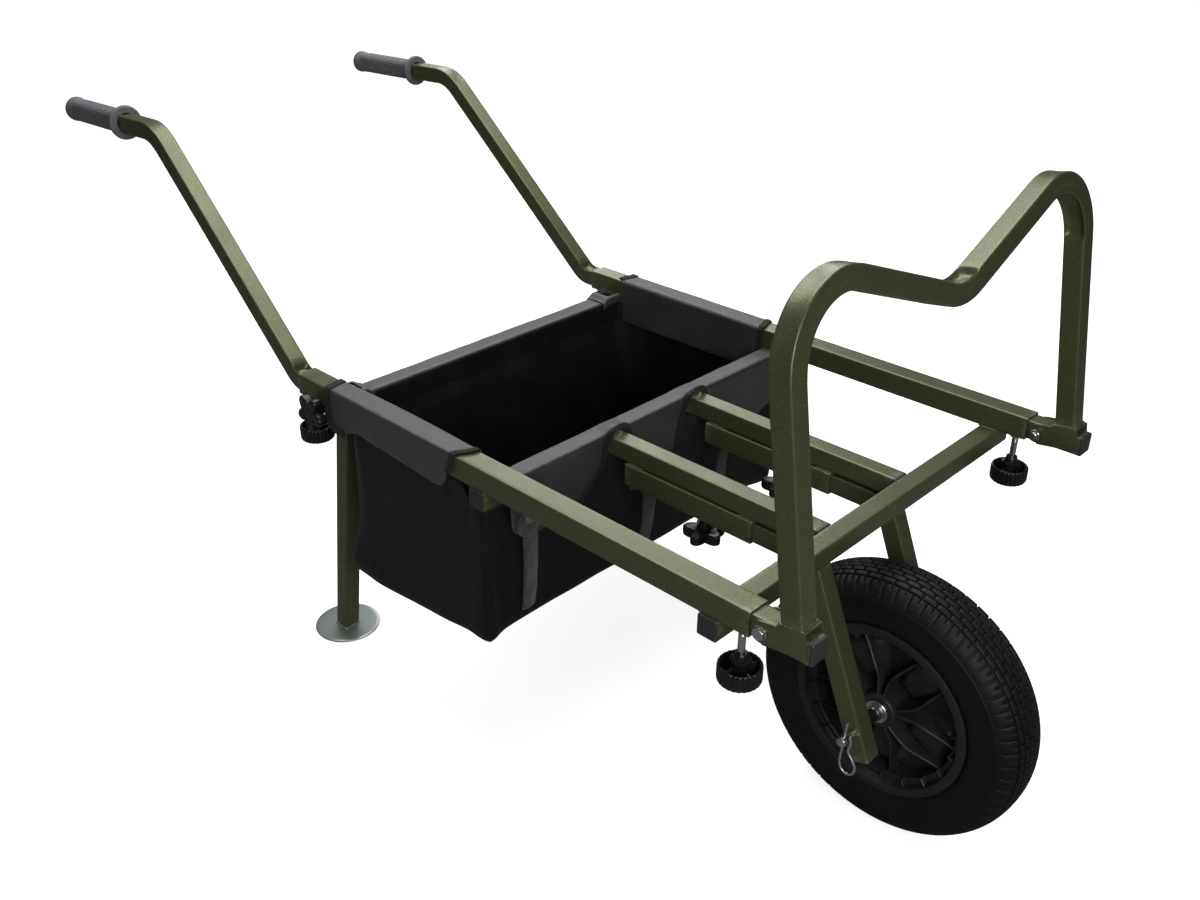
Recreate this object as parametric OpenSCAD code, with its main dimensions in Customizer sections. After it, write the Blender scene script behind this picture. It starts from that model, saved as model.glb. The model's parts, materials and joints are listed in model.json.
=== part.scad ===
// Fishing trolley: a square tube frame on one wheel and two legs, with two handles,
// a cloth tub hung in the frame and a folding bar across the front.
// Millimetres. +X is forward, +Y is the left side, +Z is up. The ground is z = 0.
// Inside the modules x = 0 is the front end of the side rails and z = 0 their tops.

/* [Tubes] */
// Side of the square tube that slides and cross-braces
tube = 25; // [24:0.25:27]
// Wall of the sliding tube
tube_wall = 1.5; // [1.2:0.1:2.5]
// Wall of the sleeve tube that the sliding tube runs in
sleeve_wall = 2; // [1.6:0.1:2.5]
// Play on each side between a sliding tube and its sleeve
tube_play = 0.5; // [0.3:0.05:0.8]
// Radius on the outer corners of every tube
tube_corner = 2; // [1.6:0.1:3]
// Reach of a plastic plug into its tube
plug_depth = 10; // [6:1:16]
// Thickness of the flange of a crossbar cap
cap_flange = 2.6; // [2:0.1:5]
// Fit of a plug in its tube, on each side
plug_play = 0.1; // [0.05:0.05:0.3]

/* [Frame] */
// Length of each side rail
rail_len = 766; // [740:1:820]
// Width over the outer faces of the side rails
frame_w = 595; // [570:1:640]
// Height of the rail tops above the ground
deck_h = 453; // [440:1:480]
// Front end of the rails to the front crossbar
front_cross_back = 36; // [32:1:45]
// Front end of the rails to the middle crossbar
mid_cross_back = 385.5; // [370:0.5:400]
// Rear end of the rails to the rear crossbar
rear_cross_in = 39; // [34:1:44]
// Distance between the centre lines of the two central tubes
centre_tube_spacing = 159; // [150:1:170]
// Thickness of the plug flange between a central tube and the front crossbar
centre_plug_flange = 4.5; // [3:0.5:8]

/* [Fork and axle] */
// Front end of the rails to the front of the fork sleeves
fork_sleeve_back = 150.5; // [140:0.5:160]
// Length of each fork sleeve
fork_sleeve_len = 200; // [180:1:215]
// Weld gap between a central tube and the fork sleeve below it
weld_gap = 2; // [1:0.5:4]
// Length of fork tube held in its sleeve
fork_held = 190; // [150:1:195]
// Angle of the fork legs from the vertical
fork_rake = 22.5; // [20:0.5:25]
// Radius of the fork bend at the tube centre
fork_bend_r = 22; // [18:1:28]
// Length of fork leg past the axle
fork_tail = 38; // [30:1:45]
// Axle centre ahead of the rails
axle_x = 12; // [4:1:20]
// Diameter of the axle
axle_d = 12; // [10:0.5:14]
// Length of axle past the right fork leg
axle_out = 23; // [18:1:28]
// Running clearance round the axle and the studs, on the radius
run_gap = 0.05; // [0.02:0.01:0.1]

/* [Wheel] */
// Outer diameter of the tyre
wheel_d = 355; // [340:1:362]
// Width of the tyre
tyre_w = 84; // [74:1:90]
// Diameter over the rim flanges
rim_flange_d = 231; // [222:1:240]
// Diameter of the rim seat under the tyre beads
rim_seat_d = 216; // [206:1:220]
// Thickness of the rim barrel and flanges
rim_wall = 4; // [3:0.5:6]
// Thickness of the tyre wall
tyre_wall = 7; // [5:0.5:9]
// Diameter of the hub of the rim
hub_d = 46; // [40:1:54]
// Width of the hub of the rim
hub_w = 76; // [66:1:80]
// Curved spoke pairs in the rim
spoke_pairs = 5; // [4:1:7]

/* [Legs] */
// Lean of the legs from the vertical
leg_rake = 9.8; // [6:0.2:12]
// Rear end of the rails to the leg centre, at the rail tops
leg_in = 54.5; // [50:0.5:60]
// Drop from the rail tops to the top of the leg sleeve
leg_sleeve_drop = 26; // [20:0.5:28]
// Length of the leg sleeve
leg_sleeve_len = 52; // [46:1:70]
// Diameter of each foot disc
foot_disc_d = 99; // [80:1:120]
// Thickness of the foot disc
foot_disc_t = 3; // [2:0.5:5]

/* [Front bar] */
// Backward tilt of the front bar at rest
bar_tilt = 8.7; // [0:0.1:9]
// Bar pivot ahead of the rails
pivot_x = 14; // [13.5:0.1:18]
// Gap between the rails and the foot of the bar
bar_foot_gap = 3; // [3:0.5:5]
// Length of the foot of the bar
bar_foot_len = 62; // [58:1:70]
// Length cut away from the top wall of the foot
bar_foot_open = 30; // [28:1:31]
// Front end of the foot to the front of the post
post_back = 4.2; // [3:0.2:6]
// Height of the outer corner line above the rail tops
bar_h = 341.5; // [300:0.5:380]
// Drop from the outer corner line to the middle of the bar
bar_dip = 103.8; // [80:0.1:130]
// Radius of the shoulder bends at the tube centre
bar_bend_r = 74; // [60:1:80]
// Radius of the middle bend at the tube centre
bar_mid_r = 78; // [60:1:110]
// Length of the extension stub ahead of the rails
stub_out = 68; // [66:1:80]
// Length of the extension stub held in the rail
stub_held = 200; // [170:1:230]
// Thickness of the flange of the stub plug
stub_flange = 4; // [3:0.5:6]
// Diameter of the pivot bolt
bolt_d = 8; // [6:0.5:8]

/* [Handles] */
// Length of handle tube held in the rail
handle_held = 185; // [160:1:220]
// Lower bend of the right handle behind the rail
handle_out_right = 12; // [12:1:60]
// Lower bend of the left handle behind the rail, pulled out a little more
handle_out_left = 26; // [12:1:60]
// Slope of the rising part of the handle
handle_slope = 40.8; // [36:0.2:44]
// Length of the rising part between the bend corners
handle_rise = 426; // [400:1:450]
// Rise of the end part towards the grip
handle_end_slope = -1.8; // [-6:0.2:6]
// Upper bend corner to the collar of the grip
handle_tail = 94; // [85:1:120]
// Radius of the lower bend at the tube centre
handle_low_r = 34; // [28:1:36]
// Radius of the upper bend at the tube centre
handle_top_r = 62; // [50:1:75]
// Inward lean of the handles, within their play in the rails
handle_lean = 1.6; // [0:0.1:1.8]

/* [Grips] */
// Length of the grip
grip_len = 172; // [150:1:190]
// Side of the rounded grip
grip_w = 31; // [30.5:0.5:36]
// Corner radius of the grip
grip_corner = 9; // [7:0.5:9.5]
// Diameter of the collar
grip_collar_d = 50; // [44:1:58]
// Thickness of the collar
grip_collar_t = 7; // [4:0.5:12]
// Diameter of the flared end
grip_end_d = 37; // [34:0.5:42]

/* [Knobs] */
// Diameter of the round knobs
round_knob_d = 47; // [40:0.5:48]
// Height of the cup of a round knob
round_knob_h = 22; // [16:1:28]
// Rail to the neck of a round knob
round_knob_drop = 34; // [28:1:44]
// Flutes round the cup of a round knob
round_knob_flutes = 24; // [16:1:30]
// Diameter over the lobes of a star knob
star_knob_d = 54; // [44:0.5:56]
// Thickness of a star knob
star_knob_t = 14; // [10:0.5:16]
// Lobes of a star knob
star_lobes = 5; // [4:1:6]
// Diameter of the clamp studs
stud_d = 8; // [6:0.5:8]
// Clamp nut across its flats
nut_af = 13; // [12:0.5:13.5]
// Height of the clamp nuts
nut_h = 6.5; // [5:0.5:8]
// Front end of the rails to the bar clamp knobs
bar_knob_back = 17; // [14:0.5:20]
// Rear end of the rails to the handle clamp knobs
handle_knob_in = 8.5; // [7:0.5:9]
// Front of the fork sleeves to the fork clamp knobs
fork_knob_back = 79.5; // [60:0.5:100]
// Gap between a stud tip and the tube that it clamps
tip_gap = 0.1; // [0.05:0.05:0.2]

/* [Tub] */
// Thickness of the cloth solid
cloth_t = 2.5; // [2:0.1:4]
// Gap between the cloth and the tubes
cloth_gap = 0.3; // [0.2:0.05:0.6]
// Depth of the tub below the rail tops at its rear corner
tub_rear_depth = 269; // [240:1:290]
// Depth of the tub below the rail tops at its lowest line
tub_mid_depth = 278; // [250:1:300]
// Depth of the tub below the rail tops at its front corner
tub_front_depth = 252; // [230:1:280]
// Middle crossbar to the lowest line of the tub
tub_low_back = 171; // [120:1:200]
// Rear crossbar to the rear sheet of the tub
tub_rear_gap = 8; // [7:0.5:12]
// Depth of the flaps over the side rails, below the rail tops
flap_depth = 50; // [44:1:60]

/* [Hidden] */

sleeve = tube + 2 * (tube_play + sleeve_wall);
rail_y = frame_w / 2 - sleeve / 2;
cross_z = -sleeve - tube / 2;
front_cross_x = -front_cross_back - tube / 2;
mid_cross_x = -mid_cross_back - tube / 2;
rear_cross_x = -rail_len + rear_cross_in + tube / 2;
centre_y = centre_tube_spacing / 2;
centre_front_x = -front_cross_back - tube - centre_plug_flange;
fork_z = -sleeve - tube - weld_gap - sleeve / 2;
fork_sleeve_mid_x = -fork_sleeve_back - fork_sleeve_len / 2;
wheel_r = wheel_d / 2;
axle_z = wheel_r - deck_h;
axle_r = axle_d / 2;
bend_x = axle_x - (fork_z - axle_z) * tan(fork_rake);
fork_rear_x = -fork_sleeve_back - fork_held;
fork_out_y = centre_y + tube / 2;
leg_y = rail_y - sleeve;
leg_x = -rail_len + leg_in;
leg_len = (deck_h - foot_disc_t) / cos(leg_rake);
stud_r = stud_d / 2;
nut_gap = 0.5;
leg_knob_z = -sleeve - nut_af / 2 - nut_gap;
leg_knob_x = leg_x + leg_knob_z * tan(leg_rake);
pivot_z = -sleeve / 2;
bolt_r = bolt_d / 2;
post_x = bar_foot_gap + bar_foot_len - post_back - tube / 2;
handle_knob_x = -rail_len + handle_knob_in;
fork_knob_x = -fork_sleeve_back - fork_knob_back;
grip_reach = handle_rise * cos(handle_slope) + (handle_tail + grip_len) * cos(handle_end_slope)
    + grip_w / 2 * sin(abs(handle_end_slope));
rear_x = -rail_len - max(handle_out_left, handle_out_right) - grip_reach;
front_x = max(axle_x + wheel_r, stub_out + stub_flange);
rest_shift = -(rear_x + front_x) / 2;
smooth = 64;

// Knobs: hub of a star knob, neck of a round knob, and where each hub starts past its stud tip
hub_len = 10;
hub_r = 6.5;
neck_len = 14;
neck_r = 7.5;
neck_flange_r = 11;
neck_flange_h = 4;
cup_wall = 2.5;
cup_edge = 1.5;
cup_rib_t = 1.8;
flute_r = 2.6;
flute_depth = 1.1;
knob_side_gap = 6.6;
knob_nut_gap = 1.5;
leg_hub = frame_w / 2 + knob_side_gap - hub_len - leg_y - tube / 2 - tip_gap;
fork_hub = sleeve_wall + tube_play + nut_h + knob_nut_gap - tip_gap;
rail_hub = sleeve_wall + tube_play + round_knob_drop - tip_gap;

// Pivot bolts and axle
head_h = 5.5;
bolt_past_nut = 2;
washer_t = 0.2;
axle_head_r = 9.5;
axle_head_t = 6;
clip_wire = 3;
clip_out = 15;
clip_y = -fork_out_y - clip_out;
clip_loop_r = 10;
clip_loop_drop = 35;
clip_prong_up = 24;
clip_tip_len = 18;
clip_tip_turn = 50;
clip_hug = 60;
bearing_w = 9;
bearing_r = 14;
washer_face = hub_w / 2 + run_gap;
washer_plate_t = 2;
washer_plate_r = 15;
washer_ring_end = 9;
washer_ring_r = 9.5;
spacer_r = 8;

// Wheel
tyre_power = 2 / 2.4;
tyre_bead_drop = 6;
bead_width = 12;
seat_r = rim_seat_d / 2;
tyre_mid_r = (wheel_r + seat_r) / 2;
flange_in = 34.8;
inner_gap = 0.3;
inner_wall = 2;
web_t = 4;
spoke_t = 4;
spoke_knee_r = 50;
spoke_hub_turn = 8;
spoke_knee_turn = 9;
spoke_end_turn = 25;

// Tub
tub_rear_lean = 4;
tub_front_lean = 8.5;
wrap_overhang = 11;
flap_nose = 7;
flap_back = 40;
leg_clear = 3;
tub_rear_x = rear_cross_x + tube / 2 + tub_rear_gap;
tub_front_x = -mid_cross_back + cloth_gap;
tub_low_x = -mid_cross_back - tub_low_back;
tub_front_low_x = tub_front_x - tub_front_lean;
side_y = frame_w / 2 + cloth_gap;
hem_low = -sleeve - tube - cloth_gap - cloth_t;
hem_top = -sleeve + cloth_gap + cloth_t;
hem_half = leg_y - sleeve / 2 - 1;

corner_steps = 3;
// Largest step round a bend, in degrees
bend_step = 6;

// Unit direction from a to b
function way(a, b) = (b - a) / norm(b - a);
// Signed turn at corner i of the path p
function turn(p, i) =
    let (d = way(p[i - 1], p[i]), e = way(p[i], p[i + 1])) atan2(d.x * e.y - d.y * e.x, d * e);
// Length that the bend takes off each side of corner i, none at the ends
function trim(p, r, i) = (i == 0 || i == len(p) - 1) ? 0 : r[i] * tan(abs(turn(p, i)) / 2);
// Direction of the path p after its point i, in degrees
function heading(p, i) = let (d = way(p[i], p[i + 1])) atan2(d.y, d.x);
// Place at angle a of the bend at corner i, with the direction of the path there
function bend_station(p, r, i, a) =
    let (h = heading(p, i - 1), side = sign(turn(p, i)),
         start = p[i] - trim(p, r, i) * [cos(h), sin(h)],
         centre = start + side * r[i] * [-sin(h), cos(h)])
        [centre - side * r[i] * [-sin(h + a), cos(h + a)], h + a];
// Stations along the path p with its bends r, run on past both ends by extra
function stations(p, r, extra) =
    let (last = len(p) - 1, h0 = heading(p, 0), h1 = heading(p, last - 1)) concat(
        [[p[0] - extra * [cos(h0), sin(h0)], h0]],
        [for (i = [1:last - 1]) let (n = ceil(abs(turn(p, i)) / bend_step))
            for (k = [0:n]) bend_station(p, r, i, turn(p, i) * k / n)],
        [[p[last] + extra * [cos(h1), sin(h1)], h1]]);
// Points of a square with rounded corners
function soft_square(side, r, steps = corner_steps) = [
    for (q = [0:3], k = [0:steps])
        let (a = 90 * (q + k / steps), c = side / 2 - r, m = 45 + 90 * q)
            [sign(cos(m)) * c + r * cos(a), sign(sin(m)) * c + r * sin(a)]
];

module in_place() {
    translate([rest_shift, 0, deck_h]) children();
}

// Cross-section of a square tube
module tube_section(side, wall, r = tube_corner) {
    difference() {
        polygon(soft_square(side, r));
        polygon(soft_square(side - 2 * wall, max(r - wall, 0.4)));
    }
}

// Straight tube along X between two stations
module tube_x(x0, x1, side, wall) {
    translate([x0, 0, 0]) rotate([90, 0, 90]) linear_extrude(x1 - x0) tube_section(side, wall);
}

// Straight tube along Y, centred
module tube_y(length, side, wall) {
    rotate([90, 0, 0]) linear_extrude(length, center = true) tube_section(side, wall);
}

// Solid pin along Y between two stations
module pin_y(y0, y1, r) {
    translate([0, y0, 0]) rotate([-90, 0, 0]) cylinder(h = y1 - y0, r = r, $fn = smooth);
}

// Solid of a closed outline carried along the stations of a path in the XZ plane
module carried(line, outline) {
    n = len(outline);
    last = len(line) - 1;
    points = [for (at = line, q = outline)
        [at[0].x - q.x * sin(at[1]), q.y, at[0].y + q.x * cos(at[1])]];
    sides = [for (i = [0:last - 1], j = [0:n - 1])
        [i * n + j, i * n + (j + 1) % n, (i + 1) * n + (j + 1) % n, (i + 1) * n + j]];
    ends = [[for (j = [0:n - 1]) n - 1 - j], [for (j = [0:n - 1]) last * n + j]];
    polyhedron(points, concat(sides, ends));
}

// Square tube along a path of points in the XZ plane, with a bend radius at each corner
module bent_tube(p, r, side, wall) {
    difference() {
        carried(stations(p, r, 0), soft_square(side, tube_corner));
        carried(stations(p, r, 1), soft_square(side - 2 * wall, 0.5, 1));
    }
}

// Plug with a flange, for the +X end of a tube that ends at x = 0
module plug_x(flange) {
    core = tube - 2 * tube_wall - 2 * plug_play;
    translate([-plug_depth, 0, 0]) rotate([90, 0, 90]) linear_extrude(plug_depth)
        polygon(soft_square(core, 1));
    rotate([90, 0, 90]) linear_extrude(flange) polygon(soft_square(tube, tube_corner));
}

// Flange and plug in the end of a crossbar that points along +Y and ends at y = 0
module cap_y() {
    core = tube - 2 * tube_wall - 2 * plug_play;
    rotate([-90, 0, 0]) {
        translate([0, 0, -plug_depth]) linear_extrude(plug_depth) polygon(soft_square(core, 1));
        linear_extrude(cap_flange) polygon(soft_square(tube, tube_corner));
    }
}

// Hexagonal nut along +Z from z = 0, with a round bore
module hex_nut(height, bore_r) {
    difference() {
        cylinder(h = height, r = nut_af / 2 / cos(30), $fn = 6);
        translate([0, 0, -1]) cylinder(h = height + 2, r = bore_r, $fn = smooth);
    }
}

module rail(s) {
    color("darkolivegreen") in_place() difference() {
        translate([0, s * rail_y, -sleeve / 2]) tube_x(-rail_len, 0, sleeve, sleeve_wall);
        for (x = [handle_knob_x, -bar_knob_back])
            translate([x, s * rail_y, -sleeve - 1])
                cylinder(h = sleeve_wall + 2, r = stud_r + nut_gap, $fn = smooth);
    }
}

module crossbar(x, length) {
    color("darkolivegreen") in_place() translate([x, 0, cross_z]) tube_y(length, tube, tube_wall);
}

module central_tube(s) {
    color("darkolivegreen") in_place() translate([0, s * centre_y, cross_z])
        tube_x(-mid_cross_back, centre_front_x, tube, tube_wall);
}

module fork_sleeve(s) {
    pad = 22;
    color("darkolivegreen") in_place() translate([0, s * centre_y, 0]) {
        difference() {
            translate([0, 0, fork_z])
                tube_x(-fork_sleeve_back - fork_sleeve_len, -fork_sleeve_back, sleeve, sleeve_wall);
            translate([fork_knob_x, 0, fork_z - sleeve / 2 - 1])
                cylinder(h = sleeve_wall + 2, r = stud_r + nut_gap, $fn = smooth);
        }
        for (end = [-1, 1])
            translate([fork_sleeve_mid_x + end * (fork_sleeve_len / 2 - pad / 2), 0,
                       fork_z + sleeve / 2 + weld_gap / 2])
                cube([pad, tube - 2 * tube_corner, weld_gap], center = true);
    }
}

module crossbar_caps() {
    color("dimgray") in_place()
        for (x = [front_cross_x, mid_cross_x])
            for (s = [0, 1])
                translate([x, 0, cross_z]) mirror([0, s, 0]) translate([0, frame_w / 2, 0]) cap_y();
}

module central_plugs() {
    color("dimgray") in_place()
        for (s = [-1, 1])
            translate([centre_front_x, s * centre_y, cross_z]) plug_x(centre_plug_flange);
}

// Nuts welded on, in which the clamp studs turn
module clamp_nuts() {
    bore = stud_r + run_gap;
    color("silver") in_place()
        for (s = [-1, 1]) {
            for (x = [handle_knob_x, -bar_knob_back])
                translate([x, s * rail_y, -sleeve - nut_h]) hex_nut(nut_h, bore);
            translate([fork_knob_x, s * centre_y, fork_z - sleeve / 2 - nut_h]) hex_nut(nut_h, bore);
            translate([leg_knob_x, s * (leg_y + sleeve / 2), leg_knob_z]) rotate([-90 * s, 0, 0])
                hex_nut(nut_h, bore);
        }
}

// Frame of a leg: origin at the rail tops, +Z up along the leg
module along_leg(s) {
    translate([leg_x, s * leg_y, 0]) rotate([0, leg_rake, 0]) children();
}

module leg_sleeve(s) {
    color("darkolivegreen") in_place() difference() {
        along_leg(s) translate([0, 0, -leg_sleeve_drop - leg_sleeve_len])
            linear_extrude(leg_sleeve_len) tube_section(sleeve, sleeve_wall);
        translate([leg_knob_x, s * leg_y, leg_knob_z]) mirror([0, s < 0 ? 1 : 0, 0])
            pin_y(tube / 2, sleeve / 2 + 1, stud_r + nut_gap);
    }
}

module leg(s) {
    top = leg_sleeve_drop - 1.5;
    color("darkolivegreen") in_place() difference() {
        along_leg(s) translate([0, 0, -leg_len - tube])
            linear_extrude(leg_len + tube - top) tube_section(tube, tube_wall);
        translate([leg_x - deck_h, s * leg_y - sleeve, -deck_h - 2 * tube])
            cube([2 * deck_h, 2 * sleeve, 2 * tube + foot_disc_t]);
    }
}

module foot_disc(s) {
    rim = foot_disc_t / 2;
    color("darkolivegreen") in_place()
        translate([leg_x - deck_h * tan(leg_rake), s * leg_y, -deck_h]) rotate_extrude($fn = 96)
            union() {
                square([foot_disc_d / 2 - rim, foot_disc_t]);
                translate([foot_disc_d / 2 - rim, rim]) circle(r = rim, $fn = 24);
            }
}

// Star knob on the +Z axis: the hub starts at z = 0 and the lobes lie past it
module star_knob() {
    lobe_r = star_knob_d * 0.15;
    color("dimgray") difference() {
        union() {
            cylinder(h = hub_len, r = hub_r, $fn = smooth);
            translate([0, 0, hub_len]) {
                cylinder(h = star_knob_t, r = star_knob_d * 0.32, $fn = smooth);
                for (k = [0:star_lobes - 1])
                    rotate([0, 0, 360 * k / star_lobes]) translate([star_knob_d / 2 - lobe_r, 0, 0])
                        cylinder(h = star_knob_t, r = lobe_r, $fn = smooth);
            }
        }
        translate([0, 0, -1]) cylinder(h = hub_len + 1, r = stud_r, $fn = smooth);
    }
}

// Round knob on the +Z axis: a fluted cup whose mouth faces -Z, with its neck from z = 0
module round_knob() {
    r = round_knob_d / 2;
    floor_z = neck_len + round_knob_h - cup_wall;
    flange_z = neck_len - 2 * neck_flange_h - 2;
    color("dimgray") difference() {
        union() {
            rotate_extrude($fn = 96) {
                translate([0, floor_z]) square([r - cup_edge, cup_wall]);
                translate([r - cup_wall - cup_edge, neck_len])
                    square([cup_wall + cup_edge, round_knob_h - cup_edge]);
                square([neck_r, floor_z]);
                translate([0, flange_z]) square([neck_flange_r, neck_flange_h]);
            }
            for (a = [0:90:270])
                rotate([0, 0, a]) translate([0, -cup_rib_t / 2, neck_len + 2 * cup_wall])
                    cube([r - cup_wall, cup_rib_t, round_knob_h - 2 * cup_wall - cup_edge]);
        }
        for (k = [0:round_knob_flutes - 1])
            rotate([0, 0, 360 * k / round_knob_flutes])
                translate([r + flute_r - flute_depth, 0, neck_len + cup_wall])
                    cylinder(h = round_knob_h, r = flute_r, $fn = 24);
        translate([0, 0, -1]) cylinder(h = neck_len, r = stud_r, $fn = smooth);
    }
}

// Threaded stud along +Z, from its tip at z = 0
module stud(length) {
    color("silver") union() {
        translate([0, 0, 1]) cylinder(h = length - 1, r = stud_r, $fn = smooth);
        cylinder(h = 1, r = stud_r - 1, $fn = smooth);
    }
}

// Places of the knobs: the origin is the stud tip and +Z runs out to the knob
module at_leg_knob(s) {
    in_place() translate([leg_knob_x, s * (leg_y + tube / 2 + tip_gap), leg_knob_z])
        rotate([-90 * s, 0, 0]) children();
}
module at_fork_knob(s) {
    in_place() translate([fork_knob_x, s * centre_y, fork_z - tube / 2 - tip_gap])
        rotate([180, 0, 0]) children();
}
module at_rail_knob(s, x) {
    in_place() translate([x, s * rail_y, -sleeve / 2 - tube / 2 - tip_gap])
        rotate([180, 0, 0]) children();
}

// Handle path in the XZ plane, seen from the rail: held end, lower bend, upper bend, grip end
function handle_path(out) =
    let (low = [-rail_len - out, -sleeve / 2],
         top = low + handle_rise * [-cos(handle_slope), sin(handle_slope)],
         end = top + (handle_tail + grip_len - 6) * [-cos(handle_end_slope), sin(handle_end_slope)])
        [[-rail_len + handle_held, -sleeve / 2], low, top, end];

// Frame of a handle: it leans inward about the middle line of its rail
module lean(s) {
    translate([0, s * rail_y, -sleeve / 2]) rotate([s * handle_lean, 0, 0])
        translate([0, 0, sleeve / 2]) children();
}

module handle(s, out) {
    color("darkolivegreen") in_place() lean(s)
        bent_tube(handle_path(out), [0, handle_low_r, handle_top_r, 0], tube, tube_wall);
}

module grip(s, out) {
    top = handle_path(out)[2];
    flare = 14;
    color("dimgray") in_place() lean(s) translate([top.x, 0, top.y])
        rotate([0, -90 + handle_end_slope, 0]) translate([0, 0, handle_tail]) difference() {
            union() {
                linear_extrude(grip_len) polygon(soft_square(grip_w, grip_corner));
                cylinder(h = grip_collar_t, d = grip_collar_d, $fn = 96);
                translate([0, 0, grip_len - flare]) cylinder(h = flare - 3, d = grip_end_d, $fn = 96);
            }
            translate([0, 0, -1]) linear_extrude(grip_len - 4)
                polygon(soft_square(tube + 2 * plug_play, tube_corner));
        }
}

module stub(s) {
    color("darkolivegreen") in_place() translate([0, s * rail_y, pivot_z]) difference() {
        tube_x(-stub_held, stub_out, tube, tube_wall);
        translate([pivot_x, 0, 0]) pin_y(-tube, tube, bolt_r);
    }
}

module stub_plugs() {
    color("dimgray") in_place()
        for (s = [-1, 1]) translate([stub_out, s * rail_y, pivot_z]) plug_x(stub_flange);
}

module pivot_bolts() {
    shank = sleeve / 2 + washer_t;
    color("silver") in_place()
        for (s = [0, 1]) mirror([0, s, 0]) translate([pivot_x, rail_y, pivot_z]) {
            pin_y(-shank - nut_h - bolt_past_nut, shank, bolt_r);
            translate([0, shank, 0]) rotate([-90, 0, 0])
                cylinder(h = head_h, r = nut_af / 2 / cos(30), $fn = 6);
        }
}

module lock_nuts() {
    color("silver") in_place()
        for (s = [0, 1]) mirror([0, s, 0]) translate([pivot_x, rail_y - sleeve / 2 - washer_t, pivot_z])
            rotate([90, 0, 0]) hex_nut(nut_h, bolt_r);
}

// Frame of the front bar: upright at tilt 0, turned back about the pivot
module tilted() {
    translate([pivot_x, 0, pivot_z]) rotate([0, -bar_tilt, 0]) translate([-pivot_x, 0, -pivot_z])
        children();
}

// Foot of the bar: sleeve tube, open below, with a rounded tail round the pivot
module bar_foot(s) {
    x0 = bar_foot_gap;
    x1 = bar_foot_gap + bar_foot_len;
    tail_r = tube / 2;
    color("darkolivegreen") in_place() tilted() translate([0, s * rail_y, 0]) difference() {
        intersection() {
            translate([0, 0, -sleeve / 2]) tube_x(x0 - tube, x1, sleeve, sleeve_wall);
            union() {
                translate([pivot_x, 0, pivot_z]) pin_y(-sleeve, sleeve, tail_r);
                translate([pivot_x, -sleeve, -sleeve / 2 - tail_r])
                    cube([x1 - pivot_x, 2 * sleeve, 2 * tail_r]);
                translate([pivot_x, -sleeve, -sleeve]) cube([x1 - pivot_x, 2 * sleeve, sleeve / 2]);
                translate([x0 + bar_foot_open, -sleeve, -sleeve / 2])
                    cube([x1 - x0 - bar_foot_open, 2 * sleeve, sleeve]);
            }
        }
        translate([x0 - 2 * tube, -tube / 2 - tube_play, -sleeve - 1])
            cube([3 * tube + bar_foot_len, tube + 2 * tube_play, sleeve_wall + tube_play + 2]);
        translate([x0 - 2 * tube, -tube / 2 - tube_play, -sleeve_wall - tube_play])
            cube([2 * tube + bar_foot_open, tube + 2 * tube_play, sleeve]);
        translate([pivot_x, 0, pivot_z]) pin_y(-sleeve, sleeve, bolt_r + run_gap);
    }
}

module front_bar() {
    path = [[-rail_y, 0], [-rail_y, bar_h], [0, bar_h - bar_dip], [rail_y, bar_h], [rail_y, 0]];
    radii = [0, bar_bend_r, bar_mid_r, bar_bend_r, 0];
    color("darkolivegreen") in_place() tilted() translate([post_x, 0, 0]) rotate([0, 0, 90])
        bent_tube(path, radii, tube, tube_wall);
}

module fork(s) {
    leg_way = [sin(fork_rake), -cos(fork_rake)];
    corner = [bend_x, fork_z];
    tip = [axle_x, axle_z] + fork_tail * leg_way;
    color("darkolivegreen") in_place() translate([0, s * centre_y, 0]) difference() {
        bent_tube([[fork_rear_x, fork_z], corner, tip], [0, fork_bend_r, 0], tube, tube_wall);
        translate([axle_x, 0, axle_z]) pin_y(-tube, tube, axle_r);
    }
}

module axle() {
    color("silver") in_place() translate([axle_x, 0, axle_z]) difference() {
        union() {
            pin_y(-fork_out_y - axle_out, fork_out_y, axle_r);
            pin_y(fork_out_y, fork_out_y + axle_head_t, axle_head_r);
        }
        translate([0, clip_y, -axle_d]) cylinder(h = 2 * axle_d, d = clip_wire, $fn = 32);
    }
}

module axle_washers() {
    color("silver") in_place() translate([axle_x, 0, axle_z])
        for (s = [0, 1]) mirror([0, s, 0]) difference() {
            union() {
                pin_y(washer_face, washer_face + washer_plate_t, washer_plate_r);
                pin_y(washer_face + washer_plate_t, washer_face + washer_ring_end, washer_ring_r);
            }
            pin_y(0, fork_out_y, axle_r);
        }
}

module axle_spacers() {
    color("dimgray") in_place() translate([axle_x, 0, axle_z])
        for (s = [0, 1]) mirror([0, s, 0]) difference() {
            pin_y(washer_face + washer_ring_end, centre_y - tube / 2, spacer_r);
            pin_y(0, fork_out_y, axle_r);
        }
}

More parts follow.
